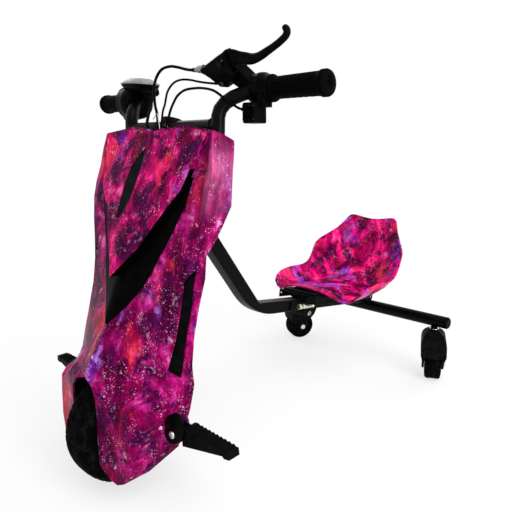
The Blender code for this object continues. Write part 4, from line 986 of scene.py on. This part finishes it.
class DRIFTKART_OT_fork(KartOperator):
    """Finish the fork, headset, axle, nuts and caliper, and the electrics with their fins and straps"""
    bl_idname = "driftkart.fork"
    bl_label = "Fork and electrics"

    def make(self, context):
        for name in ("fork_crown", "fork_leg_left", "fork_leg_right", "steerer_tube"):
            dress(name, "powder_black", 0.0005)
        for name in ("headset_cup_upper", "headset_cup_lower"):
            dress(name, "smooth_black", 0.0003)
        dress("headset_locknut", "zinc", 0.0004)
        dress("axle", "zinc", 0.0003)
        dress("brake_caliper", "cast_aluminium", 0.0006)
        dress("battery_case", "grained_black", 0.0010)
        dress("controller_case", "brushed_aluminium", 0.0006)
        for side, sign in SIDES.items():
            outward = AXLE @ shift(sign * AXLE_NUT_X, 0, 0) @ turn(sign * QUARTER, "Y")
            piece("axle_nut_chamfered_" + side, hex_nut(0.0110, 0.0062, 0.0085), "zinc", "steering",
                  outward, ("axle_nut_" + side,))
        self.fins()
        self.straps()

    def fins(self):
        """Cooling fins on the controller's front."""
        fin = block((0.064, 0.0035, 0.0018), 0.0005)
        places = [STEERING @ shift(0, -0.0392, 0.2500 + 0.0085 * k) for k in range(-4, 5)]
        piece("controller_fins", gathered(fin, places), "brushed_aluminium", "steering")

    def straps(self):
        """Two webbing straps that hold the battery to the column, with their buckles."""
        wide, deep, corner, half = 0.0935, 0.0455, 0.0055, 0.0095
        line = []
        for x, y, start in ((1, 1, 0), (-1, 1, 90), (-1, -1, 180), (1, -1, 270)):
            centre = (x * (wide / 2 - corner), y * (deep / 2 - corner))
            line += arc(centre, corner, start, start + 90, 5)
        section = []
        for x, y in line:
            inner = (x * 0.985, y * 0.965)
            section.append([Vector((x, y, -half)), Vector((x, y, half)),
                            Vector((*inner, half)), Vector((*inner, -half))])
        straps = []
        buckles = []
        for height in STRAP_HEIGHTS:
            straps.append(moved(skin(section, closed=True), shift(0, BATTERY_BEHIND, height)))
            buckle = block((0.030, 0.0040, 0.0240), 0.0012)
            buckles.append(moved(buckle, shift(0.012, BATTERY_BEHIND + 0.0240, height)))
        piece("battery_straps", together(*straps), "nylon_tie", "steering", STEERING)
        piece("strap_buckles", together(*buckles), "smooth_black", "steering", STEERING)


class DRIFTKART_OT_handlebar(KartOperator):
    """Finish the bar with its weld beads and clamp screws, and make the ribbed left grip"""
    bl_idname = "driftkart.handlebar"
    bl_label = "Handlebar"

    def make(self, context):
        dress("handlebar", "powder_black")
        piece("grip_ribbed_left", ribbed_grip(0.1040), "grip_rubber", "steering",
              STANCE @ shift(LEFT_GRIP_X, GRIP_Y, GRIP_Z) @ ACROSS, ("grip_left",), 40)
        beads = [moved(weld_ring(0.0130, 0.0016), shift(x, 0, 0) @ ACROSS) for x in (0.1095, -0.1095)]
        bridge = STEERING @ shift(0, 0, BRIDGE_HEIGHT)
        piece("cross_tube_welds", together(*beads), "powder_black", "steering", bridge)
        heads = [moved(screw_head(0.0036, 0.0026), shift(x, -0.0158, BRIDGE_HEIGHT) @ turn(QUARTER, "X"))
                 for x in (-0.0085, 0.0085)]
        piece("column_clamp_screws", together(*heads), "zinc", "steering", STEERING)


def weld_ring(radius, bead, steps=96):
    """A rippled bead round Z."""
    line = []
    for k in range(steps):
        angle = 2 * math.pi * k / steps
        line.append(Vector((radius * math.cos(angle), radius * math.sin(angle), 0)))
    return swept(line, lambda share: bead * (1 + 0.14 * math.sin(share * 2 * math.pi * steps / 5)), 8, True)


def ribbed_grip(reach):
    """A rubber grip along Z: ribs on top, dashes below, a flange at each end and a dimpled end face."""
    steps = 144
    start = 0.0050
    height = sizes().rib_height

    def ribs(z):
        def shape(radius, angle):
            wave = angle * 24 / (2 * math.pi)
            raised = 1.0 if wave % 1.0 < 0.5 else 0.0
            upper = math.cos(angle - math.pi) > -0.15
            dashed = (z * 1000 + 6 * (int(wave) % 2)) % 12 < 7
            if upper and (0.016 < z < 0.088 or 0.008 < z < 0.013):
                return radius + height * raised
            if not upper and dashed and 0.010 < z < 0.090:
                return radius + height * raised * 0.8
            return radius
        return shape

    inner_end = mm((11.3, 0), (18.0, 0), (18.5, 0.6), (18.5, 2.8), (17.6, 4.0))
    loops = [ring(radius, z, steps) for radius, z in (*inner_end, (0.0160, start))]
    rings = 58
    for k in range(1, rings):
        z = start + (reach - 0.0130 - start) * k / rings
        loops.append(ring(0.0160 + 0.0007 * k / rings, z, steps, ribs(z)))
    # Radius and distance from the outer end
    outer_end = mm((16.8, 12.8), (18.2, 11.2), (19.0, 10.0), (19.0, 3.0), (18.0, 1.0), (14.0, 0), (9.5, 0),
                   (8.8, 1.2), (5.0, 1.2), (4.2, 3.0), (0.8, 3.0))
    loops += [ring(radius, reach - back, steps) for radius, back in outer_end]
    return skin(loops)


class DRIFTKART_OT_brake_lever(KartOperator):
    """Make the brake lever's blade and finish its perch, pin and adjuster, with their screws"""
    bl_idname = "driftkart.brake_lever"
    bl_label = "Brake lever"

    def make(self, context):
        blade = piece("brake_lever_blade", moved(self.blade(), LEVER), "smooth_black", "brake_lever", None,
                      ("brake_lever",), 50)
        carved(blade, moved(turned([(0.0030, -0.02), (0.0030, 0.02)], 24), LEVER))
        dress("brake_perch", "smooth_black", 0.0012, 3)
        dress("lever_pin", "powder_black", 0.0003)
        dress("barrel_adjuster", "dull_aluminium", 0.0003)
        for name, (size, place) in PERCH_SCREWS.items():
            piece(name, moved(screw_head(*size), LEVER @ shift(*place)), "dark_steel", "steering")

    def blade(self):
        """The lever's blade. Its stations give the middle line, half height and half thickness."""
        stations = mm((-17, -2.5, 4.5, 2.5), (-12, 0, 8, 4.2), (2, 1, 10.5, 4.5), (13, 2.9, 13.2, 4.5),
                      (24, 2.6, 11.8, 4.5), (34, 0.3, 10.2, 4.6), (45, -1.6, 9.2, 5.2),
                      (56, -3.4, 7.8, 5.6), (67, -2.6, 6.6, 5.6), (78, -0.1, 6.1, 5.5), (90, 3.6, 5.6, 5.4),
                      (101, 7, 5.2, 5.2), (112, 10.7, 5.0, 5.0), (122, 14.6, 4.9, 4.9),
                      (130.5, 18.6, 4.8, 4.8), (135.6, 22.8, 4.7, 4.7), (136.6, 27.2, 4.6, 4.6),
                      (135.0, 30.4, 4.0, 3.8), (134.2, 32.2, 2.8, 2.6), (133.9, 33.0, 1.0, 1.0))
        middle = flowing([(x, y, 0) for x, y, high, thick in stations], 4)
        size = flowing([(high, thick, 0) for x, y, high, thick in stations], 4)
        loops = []
        for k, (spot, reach) in enumerate(zip(middle, size)):
            ahead = (middle[min(k + 1, len(middle) - 1)] - middle[max(k - 1, 0)]).normalized()
            across = Vector((-ahead.y, ahead.x, 0))
            loops.append([spot + across * (reach.x * flat.x) + Vector((0, 0, reach.y * flat.y))
                          for flat in oval(2.0, 2.0, 0, 2.6, 24)])
        return skin(loops)


class DRIFTKART_OT_switch(KartOperator):
    """Finish the switch box and its rocker, with the face's frame, the clamp's cover and the screws"""
    bl_idname = "driftkart.switch"
    bl_label = "Switch"

    def make(self, context):
        dress("switch_box", "smooth_black", 0.0006)
        dress("switch_rocker", "gloss_black", 0.0004)
        face = STANCE @ shift(*SWITCH_FACE) @ turn(QUARTER, "X")
        made = piece("switch_face", block((0.0245, 0.0225, 0.0010), 0.0004), "grained_black", "steering",
                     face)
        carved(made, block((0.0202, 0.0172, 0.0060)))
        screws = gathered(screw_head(0.0013, 0.0009, 18), [
            face @ shift(x, y, 0.0004) for x in (-0.0112, 0.0112) for y in (-0.0098, 0.0098)])
        piece("switch_screws", screws, "dark_steel", "steering")
        drum = mm((11.8, -25.0), (15.0, -24.6), (20.0, -20.5), (23.8, -11.0), (25.0, -2.0), (24.5, 4.0),
                  (22.0, 8.5), (20.8, 11.0), (20.6, 20.4), (19.6, 21.2), (11.8, 21.2))
        place = STANCE @ shift(SWITCH_CLAMP_X, GRIP_Y, GRIP_Z)
        piece("clamp_cover", turned(drum, 64), "smooth_black", "steering", place @ ACROSS)
        heads = [moved(screw_head(0.0026, 0.0016), turn(angle, "X") @ shift(x, 0, 0.0240))
                 for x, angle in ((-0.0095, 0.62), (-0.0020, 0.72))]
        piece("clamp_cover_screws", together(*heads), "dark_steel", "steering", place)


class DRIFTKART_OT_throttle(KartOperator):
    """Make the ribbed twist grip, the throttle's barrel and the display's tray, cap and window"""
    bl_idname = "driftkart.throttle"
    bl_label = "Throttle and display"

    def make(self, context):
        dress("throttle_housing", "smooth_black", 0.0008)
        barrel = mm((12.5, -20.0), (27.0, -20.0), (29.8, -18.4), (30.8, -12.0), (31.0, 0), (31.3, 0.6),
                    (31.3, 3.0), (30.8, 3.6), (30.2, 15.0), (28.8, 18.4), (26.2, 19.8), (24.0, 19.6),
                    (22.6, 17.6), (18.0, 17.0), (16.6, 17.6), (15.8, 19.2), (14.2, 19.2), (13.6, 17.2),
                    (6.0, 16.8), (4.0, 17.6))
        place = STANCE @ shift(*THROTTLE_BARREL) @ ACROSS
        piece("throttle_barrel", turned(barrel, 96), "smooth_black", "steering", place)
        top = STANCE @ shift(*DISPLAY_PLACE) @ turn(DISPLAY_TILT, "Y")
        tray = ovals((50, 32, -15.0), (66, 46, -9.0), (77.0, 53.0, -3.0), (78.0, 53.5, 0))
        piece("display_tray", tray, "smooth_black", "steering", top)
        cap = ovals((76.0, 51.5, -0.5), (80.0, 56.0, -0.5), (80.3, 56.2, 0.6), (79.0, 54.5, 2.0),
                    (44.0, 35.0, 9.4), (41.0, 32.0, 10.2), (39.0, 30.0, 10.4), (36.0, 27.0, 10.0),
                    (35.0, 26.0, 8.8))
        piece("display_cap", cap, "silver_plastic", "steering", top, ("display_bezel",))
        throttle = STANCE @ shift(TWIST_GRIP_X, GRIP_Y, GRIP_Z) @ ACROSS
        grip = moved(ribbed_grip(0.0865), turn(math.pi, "X") @ shift(0, 0, -0.0420))
        collar = mm((11.3, 41.5), (16.0, 41.5), (23.8, 44.0), (24.4, 45.0), (24.4, 49.2), (23.8, 49.8),
                    (11.3, 49.8))
        piece("throttle_grip_ribbed", together(grip, turned(collar, 48)), "grip_rubber", "throttle_grip",
              throttle, ("throttle_grip",), 40)
        glass = ovals((34.6, 25.6, 8.4), (34.6, 25.6, 9.5), (33.0, 24.0, 9.9))
        piece("display_window", glass, "display_glass", "steering", top)
        tie = swept(flowing(SILVER_TIE, 6), 0.0008, 8)
        piece("wire_tie", tie, "zinc", "steering", STANCE)
        seam = moved(weld_ring(0.0247, 0.0006), STANCE @ shift(HOUSING_SEAM_X, GRIP_Y, GRIP_Z) @ ACROSS)
        piece("housing_seam", seam, "gloss_black", "steering")
        screw = STANCE @ shift(-0.1640, GRIP_Y - 0.0235, GRIP_Z - 0.0105) @ turn(QUARTER + 0.45, "X")
        piece("housing_screw", moved(screw_head(0.0030, 0.0020), screw), "zinc", "steering")


class DRIFTKART_OT_cables(KartOperator):
    """Run the brake cable and the four wires, with their boots and the caliper's ferrule"""
    bl_idname = "driftkart.cables"
    bl_label = "Cables"

    def make(self, context):
        for name, (route, radius, sleeve) in CABLES.items():
            line = [STANCE @ point for point in flowing(route, 5)]
            piece(name + "_run", swept(line, radius, 14), "cable_jacket", "steering", None, (name,), 60)
        boots = [boot(route[:3], radius, sleeve) for route, radius, sleeve in CABLES.values()]
        piece("cable_boots", together(*boots), "grip_rubber", "steering")
        piece("caliper_ferrule", boot(BRAKE_ROUTE[:-4:-1], 0.0022, 0.012), "zinc", "steering")


def boot(route, radius, reach):
    """A tapered sleeve over the first stretch of a cable."""
    line = flowing(route, 8)
    kept = [line[0]]
    run = 0.0
    for before, after in zip(line, line[1:]):
        run += (after - before).length
        if run > reach:
            break
        kept.append(after)
    kept = [STANCE @ point for point in kept]
    return swept(kept, lambda share: radius + 0.0014 - 0.0008 * share, 16)


class DRIFTKART_OT_pegs(KartOperator):
    """Finish the folding pegs, brackets and bolts, with cheek plates, hole lips and shell screws"""
    bl_idname = "driftkart.pegs"
    bl_label = "Foot pegs"

    def make(self, context):
        for side, sign in SIDES.items():
            dress("peg_" + side, "grained_black", 0.0005)
            dress("peg_bracket_" + side, "powder_black", 0.0008)
            dress("peg_bolt_" + side, "zinc", 0.0003)
            mirror = Matrix.Diagonal((sign, 1, 1, 1))
            piece("peg_cheek_" + side, moved(self.cheek(), mirror), "smooth_black", "steering", STANCE)
            bolt = STANCE @ mirror @ shift(*CHEEK_BOLT) @ turn(QUARTER, "X")
            piece("peg_cheek_bolt_" + side, moved(screw_head(0.0062, 0.0034), bolt), "zinc", "steering")
            profile = mm((18.7, -4.0), (23.4, -4.0), (24.0, 0.4), (22.8, 2.2), (20.2, 2.6), (18.8, 1.4))
            at_hole = shift(*PEG_HOLE) @ facing(*PEG_HOLE_FACES)
            piece("peg_hole_lip_" + side, moved(turned(profile, 72), mirror @ at_hole), "shell_print",
                  "steering", STANCE)
            at_screw = shift(*SHELL_SCREW) @ facing(*SHELL_SCREW_FACES)
            screw = moved(screw_head(0.0036, 0.0020), mirror @ at_screw)
            piece("shell_screw_" + side, screw, "zinc", "steering", STANCE)

    def cheek(self):
        """The plate in front of the left peg's hinge, thinner towards its outer face."""
        outline = flowing([(x, z, 0) for x, z in PEG_CHEEK], 4, True)
        middle = Vector(PEG_CHEEK_MIDDLE)
        loops = []
        for y, share in ((-0.0017, 0.985), (-0.0012, 1.0), (0.0018, 1.0), (0.0032, 0.97), (0.0039, 0.90)):
            loops.append([Vector((middle.x + (p.x - middle.x) * share, -y,
                                  middle.y + (p.y - middle.y) * share)) for p in outline])
        return skin(loops)


class DRIFTKART_OT_main_frame(KartOperator):
    """Finish the tubes and the crossbar's end caps, with the weld beads at the tubes' joints"""
    bl_idname = "driftkart.main_frame"
    bl_label = "Main frame"

    def make(self, context):
        dress("main_tube", "powder_black", 0.0003)
        dress("head_tube", "powder_black")
        dress("rear_crossbar", "powder_black")
        for side in SIDES:
            dress("end_cap_" + side, "smooth_black", 0.0004)
        beads = together(
            saddle_bead(TUBE_SHALLOW, Vector((0, CROSSBAR_Y, CROSSBAR_Z)), Vector((1, 0, 0)),
                        CROSSBAR_RADIUS, 1),
            saddle_bead(TUBE_STEEP, Vector((0, 0, STEERING_HEIGHT)),
                        Vector((0, math.sin(RAKE), math.cos(RAKE))), HEAD_TUBE_RADIUS, -1))
        piece("frame_welds", moved(beads, STANCE), "powder_black", "frame")


def saddle_bead(slope, centre, axis, radius, sense):
    """A weld bead where the square tube meets a round one. sense is 1 to the rear, -1 to the front."""
    along = Vector((0, math.cos(slope), -math.sin(slope))) * sense
    normal = Vector((0, math.sin(slope), math.cos(slope)))
    corner = Vector(TUBE_CORNER)
    half, depth, curve = TUBE_WIDTH / 2, TUBE_DEPTH, 0.003
    section = []
    for x, u, start in ((half - curve, -curve, 0), (-half + curve, -curve, 90),
                        (-half + curve, -depth + curve, 180), (half - curve, -depth + curve, 270)):
        section += arc((x, u), curve + 0.0006, start, start + 90, 3)
    outline = flowing([(x, u, 0) for x, u in section], 3, True)
    line = []
    for spot in outline:
        start = corner + Vector((spot.x, 0, 0)) + normal * spot.y
        offset = start - centre
        across = offset - axis * offset.dot(axis)
        heading = along - axis * along.dot(axis)
        a, b, c = heading.dot(heading), 2 * across.dot(heading), across.dot(across) - radius ** 2
        root = b * b - 4 * a * c
        travel = (-b - math.sqrt(max(root, 0.0))) / (2 * a)
        line.append(start + along * travel)
    bead = sizes().weld_radius
    count = len(line)
    return swept(line, lambda share: bead * (1 + 0.13 * math.sin(share * math.pi * count)), 8, True)


class DRIFTKART_OT_seat(KartOperator):
    """Print the seat shell and finish its tray and clamp, with tabs, spindle, pads and rivet"""
    bl_idname = "driftkart.seat"
    bl_label = "Seat"

    def make(self, context):
        # The seat's print is the shell's print painted lighter: painted light
        dress("seat_shell", "seat_print_painted_lighter", 0.0009, angle=40)
        dress("seat_support", "powder_black", 0.0005)
        dress("seat_clamp", "powder_black", 0.0004)
        dress("seat_clamp_bolt", "zinc", 0.0003)
        tabs = [moved(block((0.0030, 0.0700, 0.0180), 0.0010), shift(sign * 0.0172, -0.0040, -0.0300))
                for sign in (1, -1)]
        piece("clamp_tabs", together(*tabs), "powder_black", "seat", SEAT)
        spindle = SEAT @ shift(*SEAT_SPINDLE) @ turn(-QUARTER, "X")
        thread = [(0.0042 + 0.0006 * (k % 2), 0.0440 + 0.0008 * k) for k in range(14)]
        shank = mm((2.0, 0), (5.6, 0), (6.0, 0.6), (6.0, 13.0), (5.1, 13.8), (5.0, 15.0), (5.7, 16.0),
                   (5.7, 34.5), (5.0, 35.2), (4.0, 36.0), (4.0, 37.2), (5.4, 38.0), (5.4, 43.0))
        rod = turned([*shank, *thread, *mm((3.0, 55.6), (0.8, 55.8))], 40)
        piece("seat_lock_spindle", rod, "pale_zinc", "seat", spindle)
        pads = [moved(block((0.0960, 0.0700, 0.0040), 0.0012), shift(0, 0.0410, -0.0025)),
                moved(block((0.0350, 0.0130, 0.0115), 0.0012), shift(0, 0.0050, -0.0102))]
        piece("seat_pads", together(*pads), "grained_black", "seat", SEAT)
        at_rivet = SEAT @ shift(*SEAT_RIVET) @ turn(QUARTER, "X")
        piece("tray_rivet", moved(screw_head(0.0022, 0.0012), at_rivet), "zinc", "seat")


class DRIFTKART_OT_casters(KartOperator):
    """Finish the caster hoods and axles, and make the grooved wheels and the stems' washers"""
    bl_idname = "driftkart.casters"
    bl_label = "Casters"

    def make(self, context):
        for side, sign in SIDES.items():
            swivel = STANCE @ shift(sign * CASTER_X, CROSSBAR_Y, 0) @ turn(sign * CASTER_TURN, "Z")
            dress("caster_fork_" + side, "floor_black", 0.0009)
            dress("caster_axle_" + side, "zinc", 0.0003)
            axle = swivel @ shift(0, -CASTER_TRAIL, CASTER_WHEEL_RADIUS) @ ACROSS
            half = mm((5.0, 17.0), (15.0, 16.5), (16.5, 19.2), (24.0, 19.2), (25.5, 18.0), (30.0, 20.0),
                      (36.0, 18.5), (38.2, 16.0), (39.0, 13.0), (39.0, 5.5), (38.0, 4.8), (38.0, 3.2),
                      (39.0, 2.5))
            profile = half + [(r, -x) for r, x in reversed(half)]
            piece("caster_wheel_grooved_" + side, moved(turned(profile, 64), axle), "wheel_rubber",
                  "caster_wheel_" + side, None, ("caster_wheel_" + side,))
            collar = swivel @ shift(0, 0, 0.1208)
            washer = turned(mm((8.8, 0), (12.5, 0), (12.8, 0.6), (12.5, 1.2), (8.8, 1.2)), 40)
            piece("caster_washer_" + side, washer, "zinc", "caster_" + side, collar)


OPERATORS = (DRIFTKART_OT_stage, DRIFTKART_OT_shell, DRIFTKART_OT_trim, DRIFTKART_OT_front_wheel,
             DRIFTKART_OT_fork, DRIFTKART_OT_handlebar, DRIFTKART_OT_brake_lever, DRIFTKART_OT_switch,
             DRIFTKART_OT_throttle, DRIFTKART_OT_cables, DRIFTKART_OT_pegs, DRIFTKART_OT_main_frame,
             DRIFTKART_OT_seat, DRIFTKART_OT_casters)


class DRIFTKART_PT_panel(bpy.types.Panel):
    """Lists the kart's colours, sizes and pieces in the sidebar"""
    bl_idname = "DRIFTKART_PT_panel"
    bl_label = "Drift Kart"
    bl_space_type = "VIEW_3D"
    bl_region_type = "UI"
    bl_category = "Drift Kart"

    def draw(self, context):
        layout = self.layout
        scene = context.scene
        groups = {"Colours": scene.drift_kart_colours, "Sizes": scene.drift_kart_sizes}
        for title, group in groups.items():
            box = layout.box()
            box.label(text=title)
            for name in group.bl_rna.properties.keys():
                if name not in ("rna_type", "name"):
                    box.prop(group, name)
        column = layout.column(align=True)
        for operator in OPERATORS:
            column.operator(operator.bl_idname)


CLASSES = (DriftKartColours, DriftKartSizes, *OPERATORS, DRIFTKART_PT_panel)


def register():
    for made in CLASSES:
        bpy.utils.register_class(made)
    bpy.types.Scene.drift_kart_colours = PointerProperty(type=DriftKartColours)
    bpy.types.Scene.drift_kart_sizes = PointerProperty(type=DriftKartSizes)


def unregister():
    del bpy.types.Scene.drift_kart_sizes
    del bpy.types.Scene.drift_kart_colours
    for made in reversed(CLASSES):
        bpy.utils.unregister_class(made)


def main():
    register()
    bpy.ops.driftkart.stage()
    bpy.ops.driftkart.shell()
    bpy.ops.driftkart.trim()
    bpy.ops.driftkart.front_wheel()
    bpy.ops.driftkart.fork()
    bpy.ops.driftkart.handlebar()
    bpy.ops.driftkart.brake_lever()
    bpy.ops.driftkart.switch()
    bpy.ops.driftkart.throttle()
    bpy.ops.driftkart.cables()
    bpy.ops.driftkart.pegs()
    bpy.ops.driftkart.main_frame()
    bpy.ops.driftkart.seat()
    bpy.ops.driftkart.casters()


if __name__ == "__main__":
    main()
